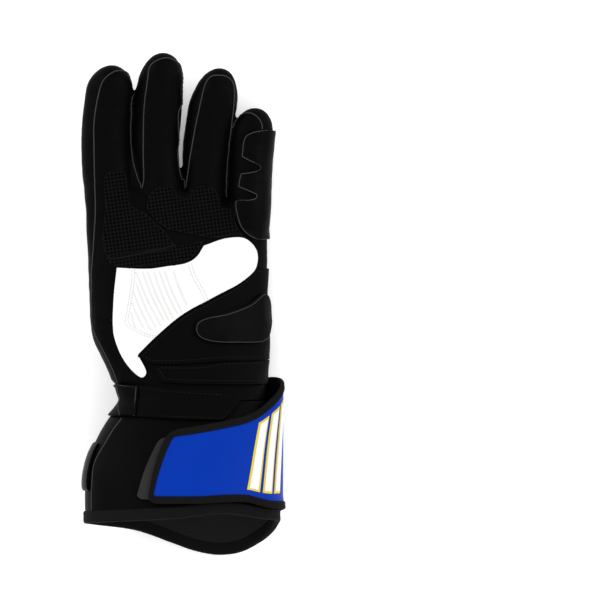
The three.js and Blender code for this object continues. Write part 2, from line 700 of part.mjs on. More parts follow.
/** The tape round the flap: along its upper edge, down its free end and back along the lower one. */
function flapBorder() {
  const steps = flapSteps();
  const path = [
    ...[...steps].reverse().map((along) => ({ along, down: 0 })),
    ...[FLAP_CORNER.down, 0.5, 1 - FLAP_CORNER.down].map((down) => ({ along: 0, down })),
    ...steps.map((along) => ({ along, down: 1 })),
  ];
  const { low, high, wide } = FLAP_BORDER;
  const rings = path.map(({ along, down }) => [
    flapPoint(along, down, low, 0),
    flapPoint(along, down, high, 0),
    flapPoint(along, down, high, wide),
    flapPoint(along, down, low, wide),
  ]);
  return solid(loft(rings));
}

/** The hook tab, which shows beyond the flap's free end and lies on the gauntlet under it. */
function hookTab() {
  const edge = (along, down, offset) => {
    const { inner, topReach, bottomReach, top, bottom } = HOOK_TAB;
    const outer = flapEnd(down) + THREE.MathUtils.lerp(topReach, bottomReach, down);
    const turn = THREE.MathUtils.lerp(outer, inner, along);
    return onForm(turn, THREE.MathUtils.lerp(top, bottom, down), offset);
  };
  return sheet([0, 0.5, 1], 5, edge, HOOK_TAB_LOW, HOOK_TAB_HIGH);
}

/** The tape folded over the gauntlet's edge: down the outside, round the edge and up the inside. */
function rimBinding() {
  const { inner, lip } = BINDING;
  const out = TAPE_OUT;
  const profile = [
    { offset: GAP, rise: BINDING_WIDE },
    { offset: out, rise: BINDING_WIDE - 0.4 },
    { offset: out, rise: -0.7 },
    { offset: inner, rise: -0.7 },
    { offset: inner, rise: BINDING_WIDE },
    { offset: inner + lip, rise: BINDING_WIDE },
    { offset: inner + lip, rise: GAP },
    { offset: GAP, rise: GAP },
  ];
  const loops = Array.from({ length: CUFF_SIDES }, (_, j) => {
    const turn = (j * 360) / CUFF_SIDES;
    return profile.map(({ offset, rise }) => onForm(turn, rimAt(turn) + rise, offset));
  });
  return solid(closedSweep(loops));
}

const strapAt = tableReader(STRAP, "turn", ["top", "bottom"]);

function wristStrap() {
  const columns = [58, 62, 66, 70, ...turns(80, 310, 10)];
  const edge = (turn, down, offset) => {
    const { top, bottom } = strapAt(turn);
    return onForm(turn, THREE.MathUtils.lerp(top, bottom, down), offset);
  };
  return sheet(columns, 2, edge, STRAP_LOW, STRAP_HIGH);
}

function strapKeeper() {
  const { from, to, top, bottom, low, high } = KEEPER;
  const edge = (turn, down, offset) => onForm(turn, THREE.MathUtils.lerp(top, bottom, down), offset);
  return sheet(turns(from, to, 8), 2, edge, low, high);
}

function cuffGuard() {
  const { from, to, top, bottom, low, high } = CUFF_GUARD;
  const edge = (turn, down, offset) => onForm(turn, THREE.MathUtils.lerp(top, bottom, down), offset);
  return sheet(turns(from, to, 10), 3, edge, low, high);
}

function cuffLining() {
  const { from, to, low, high, end } = LINING;
  const edge = (turn, down, offset) =>
    onForm(turn, THREE.MathUtils.lerp(rimAt(turn) + BINDING_WIDE + GAP, end, down), offset);
  return sheet(turns(from, to, 10), 4, edge, low, high);
}

/** The hand's leather, with the hole where the thumb is sewn in. */
function handShell() {
  const outer = handSolid(0, WRIST_JOIN);
  return outer.subtract(handSolid(-LEATHER, -70)).subtract(fingerSolid(THUMB, -LEATHER));
}

function handFront(grow) {
  return union([
    bodyFront(-80, KNUCKLE - 10 + grow, grow),
    ...Object.values(FINGERS).map((finger) => fingerFront(finger, grow)),
  ]);
}

/** The thumb's leather, cut off where it meets the hand. */
function thumbShell() {
  const wall = fingerSolid(THUMB, 0).subtract(fingerSolid(THUMB, -LEATHER));
  return wall.subtract(bodySolid(-66, KNUCKLE, GAP + 0.05));
}

const group = new THREE.Group();
group.name = "motorcycle_glove";

const finish = {
  black: new THREE.MeshStandardMaterial({ color: COLOUR.black, roughness: 0.55, metalness: 0 }),
  white: new THREE.MeshStandardMaterial({ color: COLOUR.white, roughness: 0.6, metalness: 0 }),
  grip: new THREE.MeshStandardMaterial({ color: COLOUR.grip, roughness: 0.8, metalness: 0 }),
  slider: new THREE.MeshStandardMaterial({ color: COLOUR.black, roughness: 0.35, metalness: 0 }),
  binding: new THREE.MeshStandardMaterial({ color: COLOUR.binding, roughness: 0.85, metalness: 0 }),
  tab: new THREE.MeshStandardMaterial({ color: COLOUR.tab, roughness: 0.9, metalness: 0 }),
  blue: new THREE.MeshStandardMaterial({ color: COLOUR.blue, roughness: 0.5, metalness: 0 }),
  lining: new THREE.MeshStandardMaterial({ color: COLOUR.lining, roughness: 0.95, metalness: 0 }),
};

function addPiece(name, made, material) {
  const geometry = geometryOf(made);
  geometry.translate(-MIDDLE.x, -MIDDLE.y, 0);
  const mesh = new THREE.Mesh(geometry, material);
  mesh.name = name;
  group.add(mesh);
}

const hand = handShell();
addPiece("palm_leather", mainBody(hand.intersect(handFront(0))), finish.black);
addPiece("back_leather", mainBody(hand.subtract(handFront(GAP))), finish.black);

const thumb = mainBody(thumbShell());
addPiece("thumb_front", mainBody(thumb.intersect(fingerFront(THUMB, 0))), finish.black);
addPiece("thumb_back", mainBody(thumb.subtract(fingerFront(THUMB, GAP))), finish.black);

addPiece("palm_white_panel", palmPatch(WHITE_PANEL, GAP, PATCH), finish.white);
addPiece("heel_panel", palmPatch(HEEL_PANEL, GAP, PATCH), finish.black);
addPiece("heel_slider", palmPatch(HEEL_SLIDER, PATCH + GAP, PATCH + SLIDER_THICK), finish.slider);
addPiece("wrist_panel", palmPatch(WRIST_PANEL, GAP, PATCH), finish.black);
addPiece("grip_index", palmPatch(INDEX_GRIP, GAP, PATCH), finish.grip);
addPiece("grip_knuckles", palmPatch(KNUCKLE_GRIP, GAP, PATCH), finish.grip);
addPiece("grip_lower", palmPatch(LOWER_GRIP, GAP, PATCH), finish.grip);
addPiece("little_finger_guard", palmPatch(LITTLE_GUARD, GAP, GUARD_THICK + GAP, 8), finish.slider);

const cuff = cuffSolid(0, WRIST_JOIN - GAP, -2 * GAP).subtract(cuffSolid(-CUFF_WALL, WRIST_JOIN + 4, 8));
const cuffFront = (grow) => bodyFront(-175, -50, grow);
addPiece("cuff_palm_side", mainBody(cuff.intersect(cuffFront(0))), finish.black);
addPiece("cuff_back_side", mainBody(cuff.subtract(cuffFront(GAP))), finish.black);
addPiece("cuff_lining", cuffLining(), finish.lining);
addPiece("cuff_guard", cuffGuard(), finish.slider);
addPiece("rim_binding", rimBinding(), finish.binding);

addPiece("wrist_strap", wristStrap(), finish.black);
addPiece("strap_keeper", strapKeeper(), finish.black);
addPiece("flap_panel", flapPanel(), finish.blue);
addPiece("flap_binding", flapBorder(), finish.binding);
addPiece("flap_hook_tab", hookTab(), finish.tab);

export default group;
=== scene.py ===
"""Visual model of a left-hand motorcycle racing glove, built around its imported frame.

Shapes are worked out in millimetres in the glove's own tables, and written to Blender in metres.
"""
import logging
import math
from contextlib import contextmanager
from dataclasses import dataclass, field
from enum import Enum
from typing import Callable, Iterator, Sequence

import bpy
import numpy as np
from mathutils import Matrix, Vector
from mathutils.bvhtree import BVHTree


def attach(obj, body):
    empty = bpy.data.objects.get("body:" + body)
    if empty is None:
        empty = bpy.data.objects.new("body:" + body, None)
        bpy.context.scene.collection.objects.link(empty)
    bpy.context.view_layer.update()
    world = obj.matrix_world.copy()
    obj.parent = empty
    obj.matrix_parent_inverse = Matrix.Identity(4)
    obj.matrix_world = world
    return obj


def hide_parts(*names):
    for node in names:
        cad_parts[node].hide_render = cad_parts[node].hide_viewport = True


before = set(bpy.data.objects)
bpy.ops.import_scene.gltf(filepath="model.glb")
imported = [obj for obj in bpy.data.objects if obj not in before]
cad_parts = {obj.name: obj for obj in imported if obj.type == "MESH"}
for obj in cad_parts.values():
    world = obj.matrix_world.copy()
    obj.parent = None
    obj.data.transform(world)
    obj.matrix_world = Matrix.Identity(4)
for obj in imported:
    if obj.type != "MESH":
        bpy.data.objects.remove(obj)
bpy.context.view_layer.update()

log = logging.getLogger("glove")

MM = 0.001
MIDDLE = (1.87, 0.09)  # the frame's origin in the tables' own axes, mm
GAP = 0.3  # between a panel and what it is laid on, mm
WRIST_JOIN = -61.5  # y where the hand's leather ends and the gauntlet begins
TAPE_OUT = 1.1  # how far the tape round the gauntlet stands out of it
BINDING_WIDE = 6.6
SEAM = 0.01  # vertices closer than this are the same place, mm
ROOT = "root"

Points = np.ndarray
Placing = Callable[[Points, Points], Points]
Row = tuple[float, ...]
Rows = tuple[Row, ...]
Piece = bpy.types.Object
Socket = bpy.types.NodeSocket


class Node(Enum):
    """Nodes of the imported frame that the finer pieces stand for."""

    PALM = "palm_leather"
    BACK = "back_leather"
    THUMB_FRONT = "thumb_front"
    THUMB_BACK = "thumb_back"
    WHITE = "palm_white_panel"
    HEEL = "heel_panel"
    SLIDER = "heel_slider"
    WRIST = "wrist_panel"
    GRIP_INDEX = "grip_index"
    GRIP_KNUCKLES = "grip_knuckles"
    GRIP_LOWER = "grip_lower"
    GUARD = "little_finger_guard"
    CUFF_PALM = "cuff_palm_side"
    CUFF_BACK = "cuff_back_side"
    LINING = "cuff_lining"
    CUFF_GUARD = "cuff_guard"
    RIM = "rim_binding"
    STRAP = "wrist_strap"
    KEEPER = "strap_keeper"
    FLAP = "flap_panel"
    FLAP_BINDING = "flap_binding"
    HOOK_TAB = "flap_hook_tab"


class Slot(Enum):
    """Material slots of the record."""

    BLACK = "black_leather"
    WHITE = "white_leather"
    SLIDER = "slider"
    GRIP = "grip_rubber"
    BINDING = "binding_tape"
    BLUE = "blue_leather"
    HOOK = "hook_tab"
    LINING = "lining_fabric"


# Section tables


class SmoothTable:
    """Values of a table's columns, on a smooth curve through its rows."""

    def __init__(self, rows: Sequence[Sequence[float]]) -> None:
        """Reads the rows.

        Args:
            rows: Each row is its place and then its values.
        """
        table = np.array(rows, float)
        table = table[np.argsort(table[:, 0])]
        self.places, self.values = table[:, 0], table[:, 1:]
        steps = np.diff(self.places)[:, None]
        slopes = np.diff(self.values, axis=0) / steps
        self.tangents = np.empty_like(self.values)
        self.tangents[0], self.tangents[-1] = slopes[0], slopes[-1]
        mixed = slopes[:-1] * steps[1:] + slopes[1:] * steps[:-1]
        self.tangents[1:-1] = mixed / (steps[1:] + steps[:-1])

    def at(self, place: Points | float) -> Points:
        """Columns at one or many places.

        Args:
            place: Where to read, held inside the table.

        Returns:
            One row of values for each place.
        """
        place = np.clip(np.atleast_1d(np.asarray(place, float)), self.places[0], self.places[-1])
        i = np.clip(np.searchsorted(self.places, place, side="right") - 1, 0, len(self.places) - 2)
        step = (self.places[i + 1] - self.places[i])[:, None]
        t = ((place - self.places[i])[:, None]) / step
        low, high = self.values[i], self.values[i + 1]
        start, end = self.tangents[i] * step, self.tangents[i + 1] * step
        return (
            low * (2 * t**3 - 3 * t**2 + 1)
            + start * (t**3 - 2 * t**2 + t)
            + high * (3 * t**2 - 2 * t**3)
            + end * (t**3 - t**2)
        )


@dataclass
class Form:
    """The rounded form of the hand and gauntlet: a row of sections along the arm."""
    """The rounded form of the hand and gauntlet: a row of sections along the arm."""

    square: float = 2.5
    slant: float = 0.43  # fall of the knuckles' row for each mm towards the little finger
    slant_start: float = 38.0  # y where it sets in
    slant_long: float = 36.0  # and over how far
    side_radius: float = 21.0  # of the hand's outer side
    rows: Rows = (  # y, left, right, middle height, half thickness, roll
        (-170, -61.4, 63.0, 43.6, 43.4, 0),
        (-135, -60.8, 63.2, 43.0, 42.0, 0),
        (-119, -60.8, 61.6, 42.4, 39.8, 0),
        (-106, -59.6, 60.2, 41.4, 37.4, 0),
        (-93, -56.3, 58.4, 39.8, 34.2, 0.5),
        (-80, -50.2, 56.8, 37.4, 30.4, 1.5),
        (-71.4, -44.6, 55.9, 35.5, 28.0, 2.6),
        (-66, -40.0, 55.3, 34.3, 26.6, 3.3),
        (-61.5, -37.4, 54.8, 33.2, 25.6, 4),
        (-56, -38.9, 54.9, 32.0, 25.0, 5.3),
        (-51.6, -40.6, 55.0, 31.1, 24.5, 6.4),
        (-49.4, -43.4, 55.2, 30.7, 24.3, 6.9),
        (-45, -45.2, 55.4, 29.9, 23.8, 7.8),
        (-36, -49.2, 56.2, 28.4, 22.8, 9.5),
        (-23, -55.6, 57.2, 25.5, 21.6, 11),
        (-10, -58.2, 56.2, 24.3, 20.6, 12),
        (2.5, -58.8, 55.6, 23.5, 20.0, 12),
        (21.5, -59.6, 56.6, 22.7, 19.2, 12),
        (41, -60.6, 56.6, 21.9, 18.0, 12),
        (56, -61.4, 56.4, 22.0, 15.4, 12),
        (66, -61.2, 55.8, 22.8, 11.8, 12),
        (74, -60.0, 54.6, 23.0, 7.0, 12),
    )
    rim_palm: Rows = (  # x, y of the gauntlet's edge on the palm side
        (-64, -139.2), (-54, -138.9), (-28, -137.7), (-4, -136.4), (32, -133.4), (56, -136.8), (64, -137.6),
    )
    rim_back: Rows = (
        (-64, -139.2), (-54, -140.4), (-28, -144.0), (-4, -152.2), (8, -156.4), (29, -159.4),
        (41, -157.2), (49, -153.0), (56, -148.0), (60.4, -143.4), (64, -137.6),
    )

    def __post_init__(self) -> None:
        """Makes the smooth readers of the tables."""
        self.sections = SmoothTable(self.rows)
        self.palm_edge = SmoothTable(self.rim_palm)
        self.back_edge = SmoothTable(self.rim_back)

    def point(self, turn: Points, y: Points, offset: Points | float) -> Points:
        """Places points on the form's skin.

        Args:
            turn: Degrees round the form: 0 is the little finger's side and 90 the palm.
            y: Distance along the arm, mm.
            offset: Distance out of the skin, mm.

        Returns:
            Points in mm.
        """
        turn, y = np.broadcast_arrays(np.asarray(turn, float), np.asarray(y, float))
        left, right, mid, half, roll = self.sections.at(y.ravel()).T
        angle = np.radians(turn.ravel())
        offset = np.broadcast_to(offset, turn.shape).ravel()
        c, s = np.cos(angle), np.sin(angle)
        u = np.sign(c) * np.abs(c) ** (2 / self.square) * ((right - left) / 2 + offset)
        w = np.sign(s) * np.abs(s) ** (2 / self.square) * (half + offset)
        lean = np.radians(roll)
        x = (left + right) / 2 + u * np.cos(lean) + w * np.sin(lean)
        z = mid - u * np.sin(lean) + w * np.cos(lean)
        along = y.ravel()
        share = np.clip((along - self.slant_start) / self.slant_long, 0, 1)
        slid = along - self.slant * np.maximum(0, x - 10) * share * share * (3 - 2 * share)
        lift = np.where(slid < WRIST_JOIN, TAPE_OUT, 0)
        return np.stack([x, slid, np.maximum(np.maximum(z, lift - offset), 0)], 1)

    def rim(self, turn: Points) -> Points:
        """Distance of the gauntlet's edge along the arm.

        Args:
            turn: Degrees round the form.

        Returns:
            Its y at each turn, mm.
        """
        turn = np.asarray(turn, float)
        side = self.point(turn, np.full(turn.shape, -140.0), 0)[:, 0]
        palm = self.palm_edge.at(side)[:, 0]
        back = self.back_edge.at(side)[:, 0]
        blend = np.clip(np.sin(np.radians(turn)) * 6 + 0.5, 0, 1)
        return palm * blend + back * (1 - blend)

    def turn_at(self, x: float, y: float) -> float:
        """Turn at which the palm side has this x, and past its edge by the length down the side.

        Args:
            x: Distance across, mm. What is beyond the skin's edge is measured down the side.
            y: Distance along the arm, mm.

        Returns:
            Degrees, under 0 past the edge.
        """
        turns = np.arange(0.0, 181.0, 0.2)
        across = self.point(turns, np.full(turns.shape, y), 0)[:, 0]
        first = int(np.argmax(across))
        edge = across[first]
        if x < edge:
            return float(np.interp(x, across[first:][::-1], turns[first:][::-1]))
        return float(turns[first]) - math.degrees((x - edge) / self.side_radius)


FORM = Form()


@dataclass(frozen=True)
class Profile:
    """A closed cross-section of two sizes, mm, read at shares of its rows from 0 to 1."""

    rows: Rows

    def at(self, share: Points) -> list[Points]:
        """Its two sizes at each share."""
        places = np.linspace(0, 1, len(self.rows))
        return [np.interp(share, places, column) for column in zip(*self.rows)]


# Bench tools: each is one way of making or shaping a piece


def select(*pieces: Piece) -> None:
    """Selects pieces alone, because an operator acts on all that is selected.

    Args:
        *pieces: The pieces, of which the first becomes active.
    """
    bpy.ops.object.select_all(action="DESELECT")
    for piece in pieces:
        piece.select_set(True)
    if pieces:
        bpy.context.view_layer.objects.active = pieces[0]


@contextmanager
def editing(piece: Piece, mode: str = "FACE") -> Iterator[None]:
    """Edit mode on one piece, with everything in it selected at the start.

    Args:
        piece: The piece to edit.
        mode: VERT, EDGE or FACE.
    """
    select(piece)
    bpy.ops.object.mode_set(mode="EDIT")
    bpy.ops.mesh.select_mode(type=mode)
    bpy.ops.mesh.select_all(action="SELECT")
    yield
    bpy.ops.object.mode_set(mode="OBJECT")


def take(name: str) -> Piece:
    """Names the object that an operator has just made.

    Args:
        name: Its name.

    Returns:
        The object.
    """
    piece = bpy.context.object
    piece.name = piece.data.name = name
    return piece


def rows_of(piece: Piece, what: str) -> Points:
    """Reads three numbers for each vertex of a piece.

    Args:
        piece: The piece.
        what: co for the places, metres, or normal.

    Returns:
        One row for each vertex.
    """
    flat = np.empty(len(piece.data.vertices) * 3)
    piece.data.vertices.foreach_get(what, flat)
    return flat.reshape(-1, 3)


def points_of(piece: Piece) -> Points:
    """Vertices of a piece, mm."""
    return rows_of(piece, "co") / MM


def set_points(piece: Piece, points: Points) -> None:
    """Moves the vertices of a piece to points in mm."""
    piece.data.vertices.foreach_set("co", (points * MM).ravel())
    piece.data.update()


def apply(piece: Piece, kind: str, **settings: object) -> None:
    """Adds a modifier and applies it.

    Args:
        piece: The piece to change.
        kind: The modifier's type.
        **settings: Its settings, lengths in metres.
    """
    select(piece)
    modifier = piece.modifiers.new(kind.title(), kind)
    for key, value in settings.items():
        setattr(modifier, key, value)
    bpy.ops.object.modifier_apply(modifier=modifier.name)


def join(name: str, pieces: Sequence[Piece]) -> Piece:
    """Joins pieces into the first of them.

    Args:
        name: Name of the whole.
        pieces: Two pieces or more.

    Returns:
        The whole.
    """
    select(*pieces)
    bpy.ops.object.join()
    return take(name)


def smooth(piece: Piece, angle: float = 50) -> Piece:
    """Shades a piece smooth.

    Args:
        piece: The piece.
        angle: Degrees from which an edge stays sharp.

    Returns:
        The same piece.
    """
    select(piece)
    bpy.ops.object.shade_smooth_by_angle(angle=math.radians(angle))
    return piece


def close_shell(piece: Piece) -> None:
    """Merges doubled vertices and turns the faces of a closed shell outwards.

    Args:
        piece: The shell.
    """
    with editing(piece, "VERT"):
        bpy.ops.mesh.remove_doubles(threshold=0.4 * SEAM * MM)
        bpy.ops.mesh.normals_make_consistent(inside=False)


def cap_ends(piece: Piece) -> None:
    """Makes a closed shell of a rolled sheet: merges its seam and fills its two ends.

    Args:
        piece: The rolled sheet.
    """
    with editing(piece, "VERT"):
        bpy.ops.mesh.remove_doubles(threshold=SEAM * MM)
        bpy.ops.mesh.select_all(action="DESELECT")
        bpy.ops.mesh.select_non_manifold()
        bpy.ops.mesh.edge_face_add()
    close_shell(piece)


def merge_close(piece: Piece, mode: str = "FACE", nearest: float = 0.25) -> None:
    """Merges vertices that are closer than a size in mm. A panel's would leave no room for its bevel."""
    with editing(piece, mode):
        bpy.ops.mesh.remove_doubles(threshold=nearest * MM)


def laid_sheet(name: str, across: int, along: int, place: Placing) -> Piece:
    """A grid laid over a surface, with its texture map in mm.

    Args:
        name: Name of the piece.
        across: Faces in the u direction.
        along: Faces in the v direction.
        place: Gives the points, mm, for shares u and v from 0 to 1.

    Returns:
        The open sheet.
    """
    select()
    bpy.ops.mesh.primitive_grid_add(x_subdivisions=across, y_subdivisions=along, size=2 * MM)
    piece = take(name)
    flat = (points_of(piece) + 1) / 2
    placed = place(flat[:, 0], flat[:, 1])
    set_points(piece, placed)
    order = np.lexsort((flat[:, 0], flat[:, 1]))
    rows = placed[order].reshape(along + 1, across + 1, 3)
    wide = np.linalg.norm(np.diff(rows, axis=1), axis=2).sum(1).mean()
    long = np.linalg.norm(np.diff(rows, axis=0), axis=2).sum(0).mean()
    uv = piece.data.uv_layers[0].data
    values = np.empty(len(uv) * 2)
    uv.foreach_get("uv", values)
    uv.foreach_set("uv", (values.reshape(-1, 2) * (wide, long)).ravel())
    return piece


def thicken(piece: Piece, thickness: float, round_edge: float = 0.3) -> Piece:
    """Gives a sheet its thickness outwards and rounds its edges.

    Args:
        piece: The sheet.
        thickness: How far it grows along its normals, mm. A negative one grows inwards.
        round_edge: Radius of the edges, mm.

    Returns:
        The same piece.
    """
    side = 1.0 if thickness > 0 else -1.0
    apply(piece, "SOLIDIFY", thickness=abs(thickness) * MM, offset=side, use_even_offset=False)
    if round_edge > 0:
        apply(piece, "BEVEL", width=round_edge * MM, segments=2, limit_method="ANGLE",
              angle_limit=math.radians(48), miter_outer="MITER_ARC")
    return smooth(piece)


def round_rim(piece: Piece, radius: float, segments: int) -> Piece:
    """Rounds the rim of a hard plate.

    Args:
        piece: The plate.
        radius: Radius of the rim, mm.
        segments: Faces across it.

    Returns:
        The same piece.
    """
    apply(piece, "BEVEL", width=radius * MM, segments=segments, limit_method="ANGLE",
          angle_limit=math.radians(50))
    return smooth(piece, 60)


def smooth_line(points: Sequence[Row], step: float = 1.0, closed: bool = False) -> Points:
    """A smooth curve through points, sampled at even steps.

    Args:
        points: Points in two or three dimensions, mm.
        step: Distance between samples, mm.
        closed: Whether the curve comes back to its start.

    Returns:
        The samples.
    """
    rows = np.array(points, float)
    if closed:
        rows = np.vstack([rows[-2:], rows, rows[:3]])
    lengths = np.maximum(np.linalg.norm(np.diff(rows, axis=0), axis=1), 1e-6) ** 0.5
    places = np.concatenate([[0], np.cumsum(lengths)])
    table = SmoothTable(np.column_stack([places, rows]))
    first, last = (places[2], places[-3]) if closed else (places[0], places[-1])
    fine = table.at(np.linspace(first, last, 40 * len(rows)))
    gone = np.concatenate([[0], np.cumsum(np.linalg.norm(np.diff(fine, axis=0), axis=1))])
    count = max(2, int(round(gone[-1] / step)) + 1)
    wanted = np.linspace(0, gone[-1], count)
    return np.column_stack([np.interp(wanted, gone, fine[:, k]) for k in range(fine.shape[1])])


@dataclass(frozen=True)
class Outline:
    """Edge of a panel seen from the palm: smooth runs that meet at sharp corners."""

    runs: tuple[Rows, ...]
    loop: bool = False

    def edge(self, step: float = 1.0) -> Points:
        """The edge as points in order.

        Args:
            step: Distance between points, mm.

        Returns:
            Points without a repeat of the first, anticlockwise.
        """
        if self.loop:
            line = smooth_line(self.runs[0], step, closed=True)[:-1]
        else:
            parts = []
            for run, after in zip(self.runs, self.runs[1:] + self.runs[:1]):
                parts.append(smooth_line(run + after[:1], step)[:-1])
            line = np.vstack(parts)
        x, y = line.T
        area = (x * np.roll(y, -1) - np.roll(x, -1) * y).sum()
        return line if area > 0 else line[::-1]


def inside_line(edge: Points, inset: float) -> Points:
    """A closed line that runs inside an anticlockwise edge at a distance.

    Args:
        edge: The edge's points, mm.
        inset: Distance inwards, mm.

    Returns:
        The line, with its first point repeated at its end.
    """
    ahead = np.roll(edge, -2, axis=0) - np.roll(edge, 2, axis=0)
    ahead /= np.maximum(np.linalg.norm(ahead, axis=1), 1e-6)[:, None]
    line = edge + np.column_stack([-ahead[:, 1], ahead[:, 0]]) * inset
    gaps = np.linalg.norm(line[:, None] - edge[None], axis=2).min(1)
    line = line[gaps > inset * 0.93]
    return np.vstack([line, line[:1]])


def cut_panel(name: str, edge: Points, pitch: float, tilt: float = 0.0) -> Piece:
    """A flat panel with an exact edge, cut into a grid of faces so that it can be bent.

    Args:
        name: Name of the piece.
        edge: Its edge, anticlockwise, mm.
        pitch: Size of the grid, mm.
        tilt: Degrees that the grid is turned.

    Returns:
        The flat panel at height 0, facing up.
    """
    select()
    bpy.ops.mesh.primitive_circle_add(vertices=len(edge), radius=1, fill_type="NGON")
    piece = take(name)
    set_points(piece, np.column_stack([edge, np.zeros(len(edge))]))
    with editing(piece):
        for angle in (tilt, tilt + 90):
            across = np.array([math.cos(math.radians(angle)), math.sin(math.radians(angle))])
            places = edge @ across
            first = math.ceil(places.min() / pitch) * pitch
            for place in np.arange(first, places.max(), pitch):
                bpy.ops.mesh.select_all(action="SELECT")
                spot = across * place * MM
                bpy.ops.mesh.bisect(plane_co=(*spot, 0), plane_no=(*across, 0))
    return piece


class Surface:
    """A finished surface that others are laid on, read by rays from above."""

    def __init__(self, piece: Piece) -> None:
        """Reads a piece's present shape.

        Args:
            piece: The piece.
        """
        self.piece = piece
        self.tree = BVHTree.FromObject(piece, bpy.context.evaluated_depsgraph_get())

    @staticmethod
    def raised(hit: Vector, normal: Vector, lift: float) -> Row:
        """A place on the surface, raised along its normal, mm."""
        return tuple((hit + normal * lift * MM) / MM)

    def drop(self, flat: Points, lift: float) -> Points:
        """Drops points of a plan view onto the surface.

        Args:
            flat: Points in plan, mm.
            lift: Height to leave above the surface, along its normal, mm.

        Returns:
            The points on the surface, mm, without those that miss it.
        """
        found = []
        for x, y in flat:
            hit, normal, _, _ = self.tree.ray_cast(Vector((x * MM, y * MM, 0.2)), Vector((0, 0, -1)))
            if hit is not None:
                found.append(self.raised(hit, normal, lift))
        return np.array(found)

    def land(self, point: Row, height: float = 30.0) -> Row:
        """Puts a guide point in space.

        Args:
            point: x, y and z, which stays as it is, or x and y, which is dropped from above.
            height: What it gets as z where it misses the surface, mm.

        Returns:
            The point, mm.
        """
        if len(point) == 3:
            return point
        hits = self.drop(np.array([point]), 0.0)
        return tuple(hits[0]) if len(hits) else (*point, height)

    def press(self, points: Points, lift: float) -> Points:
        """Moves points to the nearest place on the surface.

        Args:
            points: Points near it, mm.
            lift: Height to leave above the surface, along its normal, mm.

        Returns:
            The points on the surface, mm.
        """
        hits = [self.tree.find_nearest(Vector(point) * MM) for point in points]
        return np.array([self.raised(hit, normal, lift) for hit, normal, _, _ in hits])


def hug(piece: Piece, skin: Surface, offset: float = GAP) -> None:
    """Wraps a panel round a skin and merges its shortest edges.

    Args:
        piece: The panel, near the skin.
        skin: What it is laid on.
        offset: Its height above the skin, mm.
    """
    apply(piece, "SHRINKWRAP", target=skin.piece, wrap_method="NEAREST_SURFACEPOINT",
          wrap_mode="ABOVE_SURFACE", offset=offset * MM)
    merge_close(piece)


@dataclass(frozen=True)
class Stitch:
    """One stitch of a seam, and how far apart they are, mm."""

    length: float = 1.9
    pitch: float = 2.6
    thick: float = 0.5

    def sew(self, name: str, line: Points) -> Piece:
        """Repeats the stitch along a line.

        Args:
            name: Name of the piece.
            line: Points on the surface, mm.

        Returns:
            The row of stitches.
        """
        select()
        bpy.ops.mesh.primitive_uv_sphere_add(
            segments=6, ring_count=5, radius=0.5 * MM, rotation=(0, math.pi / 2, 0)
        )
        piece = take(name)
        bpy.ops.object.transform_apply(location=False, rotation=True, scale=False)
        with editing(piece):
            size = (self.length, self.thick, self.thick * 0.8)
            bpy.ops.transform.resize(value=size, center_override=(0, 0, 0))
            bpy.ops.transform.translate(value=(self.length / 2 * MM, 0, 0))
        curve = curve_along(name + "_path", line)
        select(piece)
        repeat = piece.modifiers.new("Repeat", "ARRAY")
        repeat.fit_type = "FIT_CURVE"
        repeat.curve = curve
        repeat.use_relative_offset = False
        repeat.use_constant_offset = True
        repeat.constant_offset_displace = (self.pitch * MM, 0, 0)
        bend = piece.modifiers.new("Bend", "CURVE")
        bend.object = curve
        for modifier in (repeat, bend):
            bpy.ops.object.modifier_apply(modifier=modifier.name)
        bpy.data.objects.remove(curve, do_unlink=True)
        return piece


def curve_along(name: str, line: Points) -> Piece:
    """Makes a curve object of straight steps.

    Args:
        name: Its name.
        line: Points on it, mm.

    Returns:
        The curve object.
    """
    data = bpy.data.curves.new(name, "CURVE")
    data.dimensions = "3D"
    data.twist_mode = "Z_UP"
    spline = data.splines.new("POLY")
    spline.points.add(len(line) - 1)
    rows = np.column_stack([line * MM, np.ones(len(line))])
    spline.points.foreach_set("co", rows.ravel())
    curve = bpy.data.objects.new(name, data)
    bpy.context.collection.objects.link(curve)
    return curve


def piping(name: str, line: Points, radius: float, closed: bool = False) -> Piece:
    """A round cord of leather sewn into a seam.

    Args:
        name: Name of the piece.
        line: Its middle line, mm.
        radius: Its radius, mm.
        closed: Whether it comes back to its start.

    Returns:
        The cord as a mesh.
    """
    curve = curve_along(name, line[:-1] if closed else line)
    curve.data.splines[0].use_cyclic_u = closed
    curve.data.bevel_depth = radius * MM
    curve.data.bevel_resolution = 1
    curve.data.use_fill_caps = True
    select(curve)
    bpy.ops.object.convert(target="MESH")
    piece = take(name)
    close_shell(piece)
    return smooth(piece, 60)


# Finishes


